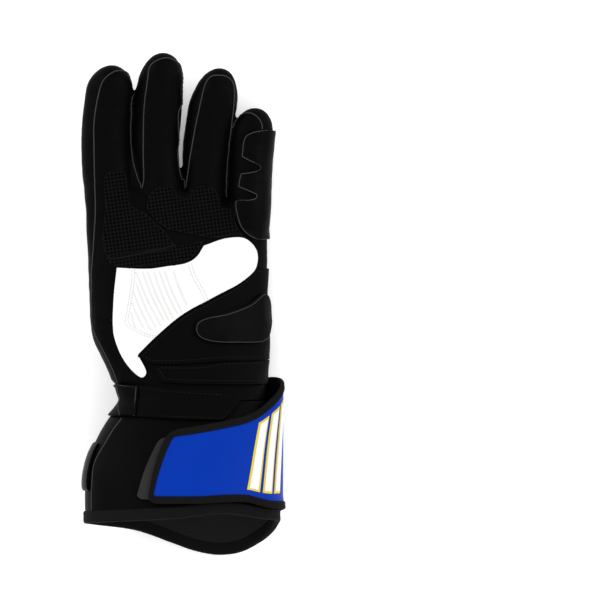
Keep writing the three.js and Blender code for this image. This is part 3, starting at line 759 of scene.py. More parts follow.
class Graph:
    """The nodes of a material or a world."""

    def __init__(self, owner: bpy.types.ID, main: str = "Principled BSDF") -> None:
        """Switches the nodes on and finds the main one.

        Args:
            owner: The material or world.
            main: Name of its main node.
        """
        owner.use_nodes = True
        self.tree = owner.node_tree
        self.main = self.tree.nodes[main]

    def feed(self, node: bpy.types.Node, inputs: dict[str | int, object]) -> None:
        """Sets inputs of a node.

        Args:
            node: The node.
            inputs: What each of them gets: a socket to link, or a value.
        """
        for key, value in inputs.items():
            if isinstance(value, Socket):
                self.tree.links.new(value, node.inputs[key])
            else:
                node.inputs[key].default_value = value

    def add(self, kind: str, inputs: dict[str | int, object], **settings: str) -> bpy.types.Node:
        """Adds a node.

        Args:
            kind: Its type, without the word ShaderNode.
            inputs: What its inputs get.
            **settings: Its own settings.

        Returns:
            The node.
        """
        node = self.tree.nodes.new("ShaderNode" + kind)
        for key, value in settings.items():
            setattr(node, key, value)
        self.feed(node, inputs)
        return node

    def noise(self, vector: Socket, size: float, detail: float) -> Socket:
        """A noise with features of a size in mm, on coordinates in metres."""
        inputs = {"Scale": 1 / (size * MM), "Detail": detail, "Vector": vector}
        return self.add("TexNoise", inputs).outputs["Fac"]


@dataclass(frozen=True)
class Finish:
    """A finish and the nodes that make it. Colours are linear, and sizes are in mm."""

    name: str
    colour: Row
    tone: float = 0.12
    tone_size: float = 18.0
    roughness: float = 0.5
    specular: float = 0.4
    bump: float = 0.08

    def material(self) -> bpy.types.Material:
        """Makes the finish as a material, once.

        Returns:
            The material.
        """
        made = bpy.data.materials.get(self.name)
        if made is None:
            made = bpy.data.materials.new(self.name)
            made.diffuse_color = (*self.colour, 1)
            graph = Graph(made)
            spots = graph.add("TexCoord", {})
            self.colouring(graph, spots.outputs["Object"])
            height = self.relief(graph, spots)
            bump = graph.add("Bump", {"Strength": 1.0, "Distance": self.bump * MM, "Height": height})
            graph.feed(graph.main, {"Normal": bump.outputs["Normal"]})
        return made

    def colouring(self, graph: Graph, vector: Socket) -> None:
        """Gives colour and roughness that vary a little over the piece.

        Args:
            graph: The material's nodes.
            vector: The object's coordinates.
        """
        cloud = graph.noise(vector, self.tone_size, 4)
        dark, pale = ((*[min(1, c * (1 + k)) for c in self.colour], 1) for k in (-self.tone, self.tone))
        mix = graph.add("Mix", {"Factor": cloud, "A": dark, "B": pale}, data_type="RGBA")
        range_ends = {"To Min": self.roughness - 0.1, "To Max": min(1, self.roughness + 0.1)}
        gloss = graph.add("MapRange", {"Value": cloud, **range_ends})
        graph.feed(graph.main, {
            "Specular IOR Level": self.specular,
            "Base Color": mix.outputs["Result"],
            "Roughness": gloss.outputs["Result"],
        })

    def relief(self, graph: Graph, spots: bpy.types.Node) -> Socket:
        """Height of the fine relief, from 0 to 1. Each kind of finish has its own."""
        return graph.noise(spots.outputs["Object"], 1.2, 3)


@dataclass(frozen=True)
class LeatherFinish(Finish):
    """Leather: small rounded cells of grain between fine creases."""

    grain: float = 1.1

    def relief(self, graph: Graph, spots: bpy.types.Node) -> Socket:
        """Makes grain cells, broken up by a slower noise.

        Args:
            graph: The material's nodes.
            spots: Its coordinates.

        Returns:
            The height.
        """
        vector = spots.outputs["Object"]
        cells = graph.add("TexVoronoi", {"Scale": 1 / (self.grain * MM), "Randomness": 1.0, "Vector": vector})
        folds = graph.noise(vector, 5.0, 5)
        inputs = {0: folds, 1: 2.2, 2: cells.outputs["Distance"]}
        return graph.add("Math", inputs, operation="MULTIPLY_ADD").outputs["Value"]


@dataclass(frozen=True)
class TapeFinish(Finish):
    """Woven tape: fine ribs across the tape, read from the piece's own map in mm."""

    rib: float = 0.9

    def relief(self, graph: Graph, spots: bpy.types.Node) -> Socket:
        """Makes the weave of two crossed waves.

        Args:
            graph: The material's nodes.
            spots: Its coordinates.

        Returns:
            The height.
        """
        waves = []
        for turn in (0.0, math.pi / 2):
            turned = graph.add("Mapping", {"Rotation": (0, 0, turn + 0.785), "Vector": spots.outputs["UV"]})
            inputs = {"Scale": 0.314 / self.rib, "Distortion": 0.3, "Vector": turned.outputs["Vector"]}
            waves.append(graph.add("TexWave", inputs).outputs["Fac"])
        return graph.add("Math", dict(enumerate(waves)), operation="MAXIMUM").outputs["Value"]


BLACK_LEATHER = LeatherFinish(
    "black leather", (0.0010, 0.0010, 0.0011), roughness=0.52, specular=0.025, bump=0.06
)
WHITE_LEATHER = LeatherFinish(
    "white leather", (0.69, 0.69, 0.685), tone=0.03, roughness=0.5, specular=0.3, bump=0.03
)
# The pleats' leather is darker than the white panel's: painted shade along the folds.
PLEAT_SHADE_LEATHER = LeatherFinish(
    "pleat leather with painted shade", (0.62, 0.62, 0.62), tone=0.03, roughness=0.5, specular=0.2, bump=0.02
)
BLUE_LEATHER = LeatherFinish(
    "blue leather", (0.0003, 0.0255, 0.292), tone=0.05, roughness=0.45, specular=0.04, bump=0.04
)
YELLOW_LEATHER = LeatherFinish(
    "yellow leather", (0.62, 0.47, 0.022), tone=0.04, roughness=0.45, specular=0.12, bump=0.03
)
# The grip's cell colour is darker than the leather, as painted shade in its sunk squares; its net colour is
# paler, as a painted highlight on the raised bars between them.
GRIP_CELL_PAINTED_SHADE = Finish("grip cell painted shade", (0.0004, 0.0004, 0.0004), roughness=0.7, specular=0.015, bump=0.03)
GRIP_NET_PAINTED_HIGHLIGHT = Finish("grip net painted highlight", (0.0048, 0.0048, 0.0048), roughness=0.85, specular=0.03, bump=0.03)
MOULDED = Finish("moulded plastic", (0.0009, 0.0009, 0.0010), roughness=0.4, specular=0.03, bump=0.02)
BINDING_TAPE = TapeFinish("binding tape", (0.0055, 0.0055, 0.0057), roughness=0.8, specular=0.03, bump=0.1)
HOOK_TAPE = TapeFinish("hook tape", (0.025, 0.0255, 0.025), roughness=0.95, specular=0.04, rib=1.3, bump=0.25)
LINING_CLOTH = TapeFinish(
    "lining cloth", (0.012, 0.012, 0.012), roughness=0.95, specular=0.04, rib=1.6, bump=0.15
)
GREY_THREAD = Finish("grey thread", (0.036, 0.036, 0.036), roughness=0.6, specular=0.06, bump=0.02)
BLACK_THREAD = Finish("black thread", (0.0064, 0.0064, 0.0064), roughness=0.6, specular=0.06, bump=0.02)
PALE_THREAD = Finish("pale thread", (0.50, 0.50, 0.51), roughness=0.6, specular=0.1, bump=0.02)


@dataclass
class Workshop:
    """Keeps the finished pieces until all are made, and then hands them to the frame."""

    shelf: list[tuple[Piece, Slot, tuple[Node, ...]]] = field(default_factory=list)

    def keep(self, piece: Piece, finish: Finish, slot: Slot, *nodes: Node) -> None:
        """Dresses a piece and puts it on the shelf.

        Args:
            piece: The finished piece, in the tables' axes.
            finish: Its finish, unless it is dressed already.
            slot: The record's slot that the finish comes from.
            *nodes: The frame's nodes that it stands for.
        """
        if not piece.data.materials:
            piece.data.materials.append(finish.material())
        self.shelf.append((piece, slot, nodes))
        log.info("%s: %d faces", piece.name, len(piece.data.polygons))

    def hand_over(self) -> None:
        """Moves every piece from the tables' axes to the frame's and ties it to its body."""
        shift = Matrix.Translation((-MIDDLE[0] * MM, -MIDDLE[1] * MM, 0))
        for piece, slot, nodes in self.shelf:
            piece.data.transform(shift)
            piece.data.update()
            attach(piece, ROOT)
            if nodes:
                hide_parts(*[node.value for node in nodes])


@dataclass
class Part:
    """A sub-assembly, which builds its pieces and gives them to the workshop."""

    shop: Workshop


@dataclass
class SewnPart(Part):
    """A sub-assembly that is laid on the hand's skin."""

    skin: Surface


# The hand


@dataclass(frozen=True)
class Limb:
    """A finger or the thumb: rows of y, x, z, half width and half thickness, then its tip."""

    name: str
    rows: Rows
    tip: tuple[float, float, float]  # x, z, reach
    roll: float = 12.0
    fullness: float = 1.008  # what smoothing takes off again

    def stations(self, offset: float) -> list[tuple[float, float, float, float, float]]:
        """Rings from root to tip, finer than the rows, mm.

        Args:
            offset: Distance out of the skin, mm.

        Returns:
            y, x, z, half width and half thickness of each ring.
        """
        table = SmoothTable(self.rows)
        first, last = self.rows[0][0], self.rows[-1][0]
        rings = []
        for y in np.linspace(first, last, 14):
            x, z, wide, thick = table.at(y)[0]
            rings.append((float(y), x, z, wide + offset, thick + offset))
        x0, z0, wide, thick = self.rows[-1][1:]
        for step in range(1, 9):
            rise = math.radians(88 * step / 8)
            share, left = math.sin(rise), math.cos(rise)
            x = x0 + (self.tip[0] - x0) * share
            z = z0 + (self.tip[1] - z0) * share
            y = last + (self.tip[2] + offset) * share
            rings.append((y, x, z, (wide + offset) * left, (thick + offset) * left))
        return rings

    def grow(self, offset: float, sides: int = 32) -> Piece:
        """Grows the limb from a ring by extruding, moving and resizing it.

        Args:
            offset: Distance out of the skin, mm.
            sides: Sides of the ring.

        Returns:
            The closed limb.
        """
        unroll = Matrix.Rotation(-math.radians(self.roll), 3, "Y")
        rings = self.stations(offset)
        centres = [unroll @ Vector((x, y, z)) * MM for y, x, z, _, _ in rings]
        select()
        bpy.ops.mesh.primitive_circle_add(
            vertices=sides, radius=MM, fill_type="NGON", location=centres[0], rotation=(math.pi / 2, 0, 0)
        )
        piece = take(self.name)
        bpy.ops.object.transform_apply(location=True, rotation=True, scale=True)
        wide, thick = rings[0][3] * self.fullness, rings[0][4] * self.fullness
        with editing(piece):
            bpy.ops.transform.resize(value=(wide, 1, thick), center_override=centres[0])
            for ring, centre, before in zip(rings[1:], centres[1:], centres):
                bpy.ops.mesh.extrude_region_move(TRANSFORM_OT_translate={"value": centre - before})
                new_wide, new_thick = ring[3] * self.fullness, ring[4] * self.fullness
                ratio = (new_wide / wide, 1, new_thick / thick)
                bpy.ops.transform.resize(value=ratio, center_override=centre)
                wide, thick = new_wide, new_thick
        piece.data.transform(Matrix.Rotation(math.radians(self.roll), 4, "Y"))
        close_shell(piece)
        return piece


@dataclass
class HandLeather(Part):
    """The leather of palm, back, fingers and thumb, one hollow shell with its seams."""

    wall: float = 1.7
    knuckles: float = 74.0  # y where the body ends, under the fingers' roots
    start: float = -70.0  # y where it begins, below the cut at the wrist
    voxel: float = 1.15  # fineness of the outer skin and of the inner one
    inner_voxel: float = 2.2
    crease_deep: float = 0.3
    crease_wide: float = 1.6
    welt: float = 0.36  # radius of the cord in a seam
    stitch: Stitch = Stitch(2.5, 3.0)
    limbs: tuple[Limb, ...] = (
        Limb("index", (
            (36, -44.0, 31.0, 10.5, 8.0), (58, -45.6, 30.8, 14.4, 12.4), (75, -46.2, 30.8, 15.5, 13.4),
            (98, -47.5, 31.4, 15.6, 12.9), (111, -47.5, 32.4, 15.5, 12.6), (124, -46.8, 33.8, 15.4, 12.2),
            (136, -45.4, 35.6, 15.0, 11.6)), (-43.6, 38.6, 17.4)),
        Limb("middle", (
            (36, -12.6, 25.0, 10.5, 9.0), (58, -12.4, 24.8, 13.6, 12.8), (75, -13.2, 24.8, 14.4, 13.6),
            (98, -16.0, 25.6, 15.0, 13.1), (118, -15.0, 27.4, 15.8, 12.6), (130, -13.9, 29.2, 15.6, 12.2),
            (140.4, -12.8, 31.2, 14.8, 11.6)), (-10.4, 35.6, 21.2)),
        Limb("ring", (
            (34, 15.6, 19.4, 10.0, 9.0), (55, 15.3, 19.2, 12.6, 12.4), (72, 15.5, 19.2, 13.4, 13.2),
            (85, 15.6, 19.5, 13.7, 12.9), (98, 16.2, 20.2, 14.4, 12.6), (111, 17.9, 21.6, 15.1, 12.2),
            (125.5, 20.7, 24.0, 15.7, 11.7)), (25.6, 29.4, 26.2)),
        Limb("little", (
            (28, 41.6, 14.8, 9.4, 8.0), (48, 42.6, 14.6, 12.4, 11.2), (66, 43.3, 14.6, 13.4, 12.2),
            (82, 43.9, 15.0, 13.2, 11.9), (98, 44.9, 16.2, 13.2, 11.5), (107.8, 45.7, 17.6, 13.5, 11.1)),
            (48.2, 20.6, 18.2)),
        Limb("web", (
            (40, -29.8, 27.0, 2.2, 6.0), (75, -29.2, 27.5, 2.6, 7.0), (90, -31.4, 28.0, 2.2, 6.0),
            (100, -32.4, 28.4, 1.4, 4.0)), (-32.6, 28.6, 4)),
        Limb("thumb", (
            (-44, -31.0, 28.0, 11.5, 9.0), (-30, -34.4, 24.0, 14.6, 10.4), (-16, -37.6, 18.2, 15.8, 10.4),
            (-3, -39.8, 12.6, 16.0, 9.4), (10, -40.8, 7.0, 16.0, 7.6), (26, -40.8, 6.4, 15.8, 7.1),
            (44, -39.2, 6.4, 14.8, 7.1)), (-37.6, 6.4, 16)),
    )
    seams: tuple[Rows, ...] = (  # x and y on the palm side, or x, y and z
        (
            (-24.9, 74.6), (-30.1, 91.5), (-31.3, 101.8), (-31.8, 113.9), (-31.3, 123.6), (-30.9, 132.0),
            (-30.7, 138.0, 31.5), (-32.8, 145.4, 34.5), (-39.0, 149.6), (-42.1, 149.0), (-46.7, 146.0),
            (-49.4, 142.8), (-51.3, 137.8), (-53.1, 130.0), (-54.3, 122.7), (-55.1, 114.5), (-55.0, 98.6),
            (-54.7, 85.1), (-54.1, 65.3), (-54.7, 48.6), (-55.7, 32.0), (-56.5, 18.6), (-56.6, 2.6),
            (-56.1, -11.5), (-53.8, -19.8), (-49.9, -27.5), (-46.4, -34.6), (-42.7, -42.2), (-40.2, -48.6),
        ),
        (
            (-24.4, 74.6), (-23.1, 80.6), (-23.4, 92.8), (-23.4, 112.2), (-23.2, 120.9), (-22.5, 130.0),
            (-21.2, 140.1), (-20.4, 146.5), (-19.7, 151.0), (-17.9, 154.0), (-13.8, 156.6), (-9.2, 157.8),
            (-6.5, 157.5), (-3.2, 155.9), (0.2, 150.6, 30.6), (1.6, 144.0, 28.6), (1.4, 137.5, 27.4),
            (0.2, 131.0, 26.4), (-0.8, 124.2), (-1.2, 114.6), (-0.8, 105.0), (0.1, 94.1), (3.1, 74.8),
        ),
        (
            (3.8, 74.8), (7.4, 99.2), (9.5, 111.7), (11.8, 122.7), (13.8, 131.8), (15.9, 140.1),
            (17.8, 143.9), (20.5, 146.2), (24.6, 146.7), (29.8, 145.9), (33.0, 143.2), (34.4, 139.3),
            (34.6, 135.7), (34.2, 127.3), (33.3, 119.0), (32.6, 112.6), (31.2, 103.0), (30.3, 92.2),
            (29.5, 80.6), (29.7, 69.1),
        ),
        (
            (33.2, 112.9), (35.9, 117.8), (39.3, 121.4), (43.4, 122.6), (47.5, 121.5), (50.8, 118.5),
            (52.3, 115.4), (52.6, 112.1),
        ),
    )
    creases: Rows = (  # x, y and half length of a fold across a finger
        (-47.5, 103, 12), (-47.0, 126, 11), (-16, 104, 12), (-15.5, 130, 11), (15.8, 100, 11),
        (18.8, 122, 11), (43.5, 84, 9), (44.8, 103, 9), (-46, 80, 12), (-13.5, 80, 11),
    )

    def body(self, offset: float) -> Piece:
        """The hand without its fingers, as a closed form.

        Args:
            offset: Distance out of the skin, mm.

        Returns:
            The closed form.
        """
        end = self.knuckles + min(0.0, offset)

        def place(u: Points, v: Points) -> Points:
            """Points round the hand and down it."""
            return FORM.point(u * 360, end + (self.start - end) * v, offset)

        piece = laid_sheet("hand_body", 96, 72, place)
        cap_ends(piece)
        return piece

    def fuse(self, name: str, offset: float, voxel: float) -> Piece:
        """Fuses the hand and its fingers into one skin.

        Args:
            name: Name of the piece.
            offset: Distance out of the skin, mm.
            voxel: Fineness, mm.

        Returns:
            The skin, open at the wrist.
        """
        piece = join(name, [self.body(offset)] + [limb.grow(offset) for limb in self.limbs])
        apply(piece, "REMESH", mode="VOXEL", voxel_size=voxel * MM, use_smooth_shade=True)
        apply(piece, "SMOOTH", factor=0.5, iterations=7)
        with editing(piece):
            cut = (0, WRIST_JOIN * MM, 0)
            bpy.ops.mesh.bisect(plane_co=cut, plane_no=(0, 1, 0), clear_inner=True)
        return piece

    def soften(self, piece: Piece) -> None:
        """Gives the leather the slow unevenness and the folds of a worn glove.

        Args:
            piece: The outer skin.
        """
        texture = bpy.data.textures.new("leather unevenness", "CLOUDS")
        texture.noise_scale = 0.016
        texture.noise_depth = 2
        apply(piece, "DISPLACE", texture=texture, strength=1.1 * MM, mid_level=0.5, texture_coords="LOCAL")
        points = points_of(piece)
        normals = rows_of(piece, "normal")
        sink = np.zeros(len(points))
        for x, y, reach in self.creases:
            bow = 0.012 * (points[:, 0] - x) ** 2
            near = np.exp(-(((points[:, 1] - y + bow) / self.crease_wide) ** 2))
            side = np.exp(-(((points[:, 0] - x) / reach) ** 4))
            sink += self.crease_deep * near * side * np.clip(normals[:, 2] * 1.5, 0, 1)
        points -= normals * sink[:, None]
        points[:, 2] = np.maximum(points[:, 2], 0.0)
        set_points(piece, points)

    def make(self) -> Surface:
        """Builds the leather and its seams.

        Returns:
            The outer skin, for what is sewn on it.
        """
        outer = self.fuse("hand_leather", 0.0, self.voxel)
        self.soften(outer)
        select(outer)
        bpy.ops.object.duplicate()
        skin = Surface(take("hand_reference"))
        inner = self.fuse("hand_inside", -self.wall, self.inner_voxel)
        with editing(inner):
            bpy.ops.mesh.flip_normals()
        shell = join("hand_leather", [outer, inner])
        with editing(shell, "EDGE"):
            bpy.ops.mesh.select_all(action="DESELECT")
            bpy.ops.mesh.select_non_manifold()
            bpy.ops.mesh.bridge_edge_loops()
        smooth(shell, 180)
        nodes = (Node.PALM, Node.BACK, Node.THUMB_FRONT, Node.THUMB_BACK)
        self.shop.keep(shell, BLACK_LEATHER, Slot.BLACK, *nodes)
        self.sew_seams(skin)
        return skin

    def sew_seams(self, skin: Surface) -> None:
        """Sews the seams round the fronts of the fingers.

        Args:
            skin: The outer skin.
        """
        rows, cords = [], []
        for number, seam in enumerate(self.seams):
            line = smooth_line([skin.land(point) for point in seam])
            cords.append(piping(f"welt_{number}", skin.press(line, self.welt / 3), self.welt))
            rows.append(self.stitch.sew(f"row_{number}", skin.press(line, self.welt + 0.06)))
        self.shop.keep(join("finger_seams", cords), GREY_THREAD, Slot.BLACK)
        self.shop.keep(join("finger_seam_stitches", rows), GREY_THREAD, Slot.BLACK)


# What is sewn on the palm


@dataclass
class Patches(SewnPart):
    """Panels, grip patches and pads on the palm, laid on the hand's skin."""

    thick: float = 1.1
    rim: float = 0.9  # points along a panel's edge are this far apart, mm
    side: float = 52.5  # x where the palm turns down into the hand's side
    panel_face: float = 2.2  # size of a leather panel's faces, mm
    stitch_inset: float = 1.7  # from a panel's edge
    pad_thick: float = 2.0
    grip_pitch: float = 2.35  # of the net, mm
    grip_tilt: float = 8.0  # degrees
    grip_thick: float = 0.7
    grip_bar: float = 0.42  # half the width of the net's bars
    grip_deep: float = 0.35
    white: Outline = Outline((
        ((-40.4, 23.4), (-20.4, 22.8), (-7.9, 24.4), (4.4, 26.6), (10.6, 30.6)),
        ((15.2, 37.6), (29.5, 42.2), (41.4, 42.0), (48.5, 34.3), (47.9, 23.3), (39.2, 14.6), (21.4, 4.7),
         (1.6, -6.3), (-15.4, -20.6)),
        ((-26.9, -32.2), (-21.6, -44.0), (-24.2, -46.8), (-33.9, -38.2), (-41.8, -21.0), (-42.4, 2.0)),
    ))
    pleats: Rows = (  # each one's top and foot, x and y
        (-31.3, -5.1, -28.7, -14.3), (-30.7, 1.3, -23.6, -14.7), (-30.0, 8.6, -18.6, -16.6),
        (-28.2, 13.6, -15.6, -14.7), (-28.2, 20.9, -12.4, -13.4), (-24.1, 20.9, -10.6, -9.7),
        (-20.9, 20.9, -7.4, -9.7), (-16.8, 20.9, -4.4, -9.2), (-13.4, 21.4, -1.9, -5.6),
        (-9.9, 21.2, 1.3, -5.1), (-4.4, 21.6, 4.2, -0.1),
    )
    fan_border: tuple[Rows, ...] = (
        ((-30.7, 21.8), (-31.2, 13.0), (-32.4, 4.7), (-34.3, -6.0), (-35.1, -11.1), (-33.8, -13.8),
         (-28.7, -17.0), (-23.2, -19.8), (-17.6, -21.2)),
        ((5.4, 25.4), (7.4, 19.1), (9.3, 15.4), (14.3, 6.3), (15.8, 2.4)),
    )
    index_grip: Outline = Outline((
        ((-45.6, 29.8), (-48.9, 36.2), (-47.9, 62.8), (-47.7, 82.6), (-42.0, 86.0), (-36.0, 84.2),
         (-33.6, 69.0), (-31.6, 63.8), (-22.6, 58.2), (-15.6, 52.0), (-9.4, 46.2)),
        ((-3.6, 38.2), (-23.5, 33.4)),
    ))
    knuckle_grip: Outline = Outline((
        ((-8.0, 48.0), (-14.6, 53.0), (-19.4, 58.4), (-21.4, 63.4), (-18.6, 71.0), (-12.0, 76.2),
         (-5.0, 75.4), (-1.6, 69.8), (2.0, 68.1), (5.8, 69.2), (10.0, 75.0), (20.0, 75.0), (24.2, 69.4),
         (26.2, 62.0)),
        ((33.2, 60.6), (36.0, 50.6)),
        ((39.8, 44.4), (21.1, 42.8), (3.1, 45.9)),
    ))
    lower_grip: Outline = Outline((
        ((-45.6, 28.6), (-23.5, 32.2), (-3.3, 37.0)),
        ((14.6, 40.6), (13.4, 38.0), (9.0, 31.6), (3.1, 27.6), (-11.8, 25.0), (-28.8, 23.8), (-40.0, 24.2),
         (-45.0, 26.4)),
    ))
    grip_seam: Rows = ((-46.6, 30.0), (-44.6, 29.4), (-23.5, 32.8), (-2.6, 37.9))
    heel: Outline = Outline((
        ((-26.2, -32.8), (-14.8, -21.4), (2.0, -7.1), (21.7, 3.8), (38.8, 13.9)),
        ((47.6, 22.4), (55, 23.0)),
        ((61.0, 22.6), (61.0, -5)),
        ((61.0, -34.8), (50.0, -35.2)),
        ((27.3, -35.5), (0.0, -37.6)),
        ((-17.0, -37.6), (-23, -35.2)),
    ))
    slider: Outline = Outline(((
        (8.8, -16.6), (9.9, -11.3), (15.2, -8.1), (22.7, -6.5), (29.1, -4.9), (40.8, -0.1),
        (46.2, 4.2), (49.2, 6.8), (51.4, 7.2), (53.4, 5.2), (54.9, 0.0), (55.4, -6.0), (55.2, -13.0),
        (54.2, -18.6), (52.6, -21.6), (49.6, -23.6), (44.0, -24.4), (35.5, -24.4), (22.7, -24.1),
        (12.0, -21.3),
    ),), loop=True)
    wrist: Outline = Outline((
        ((-16.4, -38.8), (13.2, -38.8)),
        ((27.3, -36.3), (50, -35.8)),
        ((61.0, -35.4), (61.0, -43)),
        ((61.0, -49.4), (56, -50.4)),
        ((50.0, -50.6), (10.0, -50.2)),
        ((-10.6, -49.4), (-14, -44)),
    ))

    def dropped(self, name: str, outline: Outline, pitch: float, tilt: float = 0.0) -> Piece:
        """A panel laid straight down on the palm.

        Args:
            name: Name of the piece.
            outline: Its edge.
            pitch: Size of its faces, mm.
            tilt: Degrees that its grid is turned.

        Returns:
            The open sheet, just above the skin.
        """
        piece = cut_panel(name, outline.edge(self.rim), pitch, tilt)
        set_points(piece, points_of(piece) + (0, 0, 120))
        apply(piece, "SHRINKWRAP", target=self.skin.piece, wrap_method="PROJECT", use_project_z=True,
              use_negative_direction=True, use_positive_direction=False, offset=GAP * MM)
        merge_close(piece)
        return piece

    def wrapped(self, name: str, outline: Outline, pitch: float, offset: float = GAP) -> Piece:
        """A panel that goes round the side of the hand.

        Args:
            name: Name of the piece.
            outline: Its edge; past the side it is measured down the side.
            pitch: Size of its faces, mm.
            offset: Its height above the skin, mm.

        Returns:
            The open sheet.
        """
        edge = outline.edge(self.rim)
        piece = cut_panel(name, np.column_stack([-self.turns(edge), edge[:, 1]]), pitch)
        flat = points_of(piece)
        set_points(piece, FORM.point(-flat[:, 0], flat[:, 1], 3.0))
        hug(piece, self.skin, offset)
        return piece

    @staticmethod
    def turns(line: Points) -> Points:
        """Turns round the hand's form of a line's points in plan."""
        return np.array([FORM.turn_at(x, y) for x, y in line])

    def grip(self, name: str, outline: Outline, node: Node) -> None:
        """Builds a grip patch: a raised net round small sunk squares.

        Args:
            name: Name of the piece.
            outline: Its edge.
            node: The frame's node that it stands for.
        """
        piece = self.dropped(name, outline, self.grip_pitch, self.grip_tilt)
        apply(piece, "SOLIDIFY", thickness=self.grip_thick * MM, offset=1.0)
        # The net gets the paler colour as a painted highlight on its raised bars, and the sunk squares the
        # darker one as painted shade.
        for finish in (GRIP_NET_PAINTED_HIGHLIGHT, GRIP_CELL_PAINTED_SHADE):
            piece.data.materials.append(finish.material())
        least = 0.45 * (self.grip_pitch * MM) ** 2
        for face in piece.data.polygons:
            face.select = face.normal.z > 0.25 and face.area > least
        select(piece)
        bpy.ops.object.mode_set(mode="EDIT")
        bpy.ops.mesh.inset(thickness=self.grip_bar * MM, depth=-self.grip_deep * MM, use_individual=True)
        bpy.ops.object.mode_set(mode="OBJECT")
        for face in piece.data.polygons:
            face.material_index = int(face.select)
        self.shop.keep(smooth(piece, 25), GRIP_NET_PAINTED_HIGHLIGHT, Slot.GRIP, node)

    def edge_stitches(self, name: str, outline: Outline, top: Surface) -> Piece:
        """A row of stitches just inside a panel's edge, as far as the hand's side.

        Args:
            name: Name of the piece.
            outline: The panel's edge.
            top: The panel's surface.

        Returns:
            The row of stitches.
        """
        line = inside_line(outline.edge(self.rim), self.stitch_inset)
        line = line[line[:, 0] < self.side]
        start = int(np.argmax(np.linalg.norm(np.diff(line, axis=0), axis=1))) + 1
        return Stitch().sew(name, top.drop(np.vstack([line[start:], line[1:start]]), 0.1))

    def fan(self, top: Surface) -> None:
        """Builds the pleats that fan out over the white panel, between double rows of stitches.

        Args:
            top: The white panel's surface.
        """
        cords, rows = [], []
        for number, (x0, y0, x1, y1) in enumerate(self.pleats):
            bow = ((x0 + x1) / 2 - 0.024 * (y0 - y1), (y0 + y1) / 2 - 0.01 * (y0 - y1))
            line = smooth_line(((x0, y0), bow, (x1, y1)))
            cords.append(piping(f"pleat_{number}", top.drop(line, -0.1), 0.5))
        # The pleat cords get the darker leather as painted shade along the folds.
        self.shop.keep(join("palm_pleats", cords), PLEAT_SHADE_LEATHER, Slot.WHITE)
        for number, border in enumerate(self.fan_border):
            for shift in (0.0, 1.8):
                line = smooth_line(np.array(border) + (shift, shift * 0.5))
                rows.append(Stitch(1.2, 1.8, 0.6).sew(f"fan_{number}", top.drop(line, 0.05)))
        self.shop.keep(join("palm_fan_stitches", rows), PALE_THREAD, Slot.WHITE)

    def make(self) -> None:
        """Builds everything that is sewn on the palm."""
        white = thicken(self.dropped("palm_white_leather", self.white, 1.9), self.thick, 0.35)
        self.shop.keep(white, WHITE_LEATHER, Slot.WHITE, Node.WHITE)
        self.fan(Surface(white))
        self.grip("grip_patch_index", self.index_grip, Node.GRIP_INDEX)
        self.grip("grip_patch_knuckles", self.knuckle_grip, Node.GRIP_KNUCKLES)
        self.grip("grip_patch_lower", self.lower_grip, Node.GRIP_LOWER)
        seam = self.skin.drop(smooth_line(self.grip_seam), 0.75)
        self.shop.keep(piping("grip_patch_welt", seam, 0.4), BLACK_THREAD, Slot.GRIP)
        panels = []
        for name, outline, node in (("heel", self.heel, Node.HEEL), ("wrist", self.wrist, Node.WRIST)):
            piece = thicken(self.wrapped(f"{name}_leather", outline, self.panel_face), self.thick)
            self.shop.keep(piece, BLACK_LEATHER, Slot.BLACK, node)
            panels.append((f"{name}_stitches", outline, piece))
        edges = [self.edge_stitches(name, outline, Surface(piece)) for name, outline, piece in panels]
        self.shop.keep(join("heel_edge_stitches", edges), BLACK_THREAD, Slot.BLACK)
        self.pad()

    def pad(self) -> None:
        """Builds the hard slider on the heel of the hand, with a rounded rim and a welt along it."""
        piece = self.wrapped("heel_slider_pad", self.slider, 2.0, GAP + self.thick + 0.25)
        round_rim(thicken(piece, self.pad_thick, 0.0), 0.9, 4)
        self.shop.keep(piece, MOULDED, Slot.SLIDER, Node.SLIDER)
        line = inside_line(self.slider.edge(self.rim), 0.75)
        welt = Surface(piece).press(FORM.point(self.turns(line), line[:, 1], 5.5), 0.03)
        self.shop.keep(piping("heel_slider_welt", welt, 0.26, closed=True), GREY_THREAD, Slot.SLIDER)


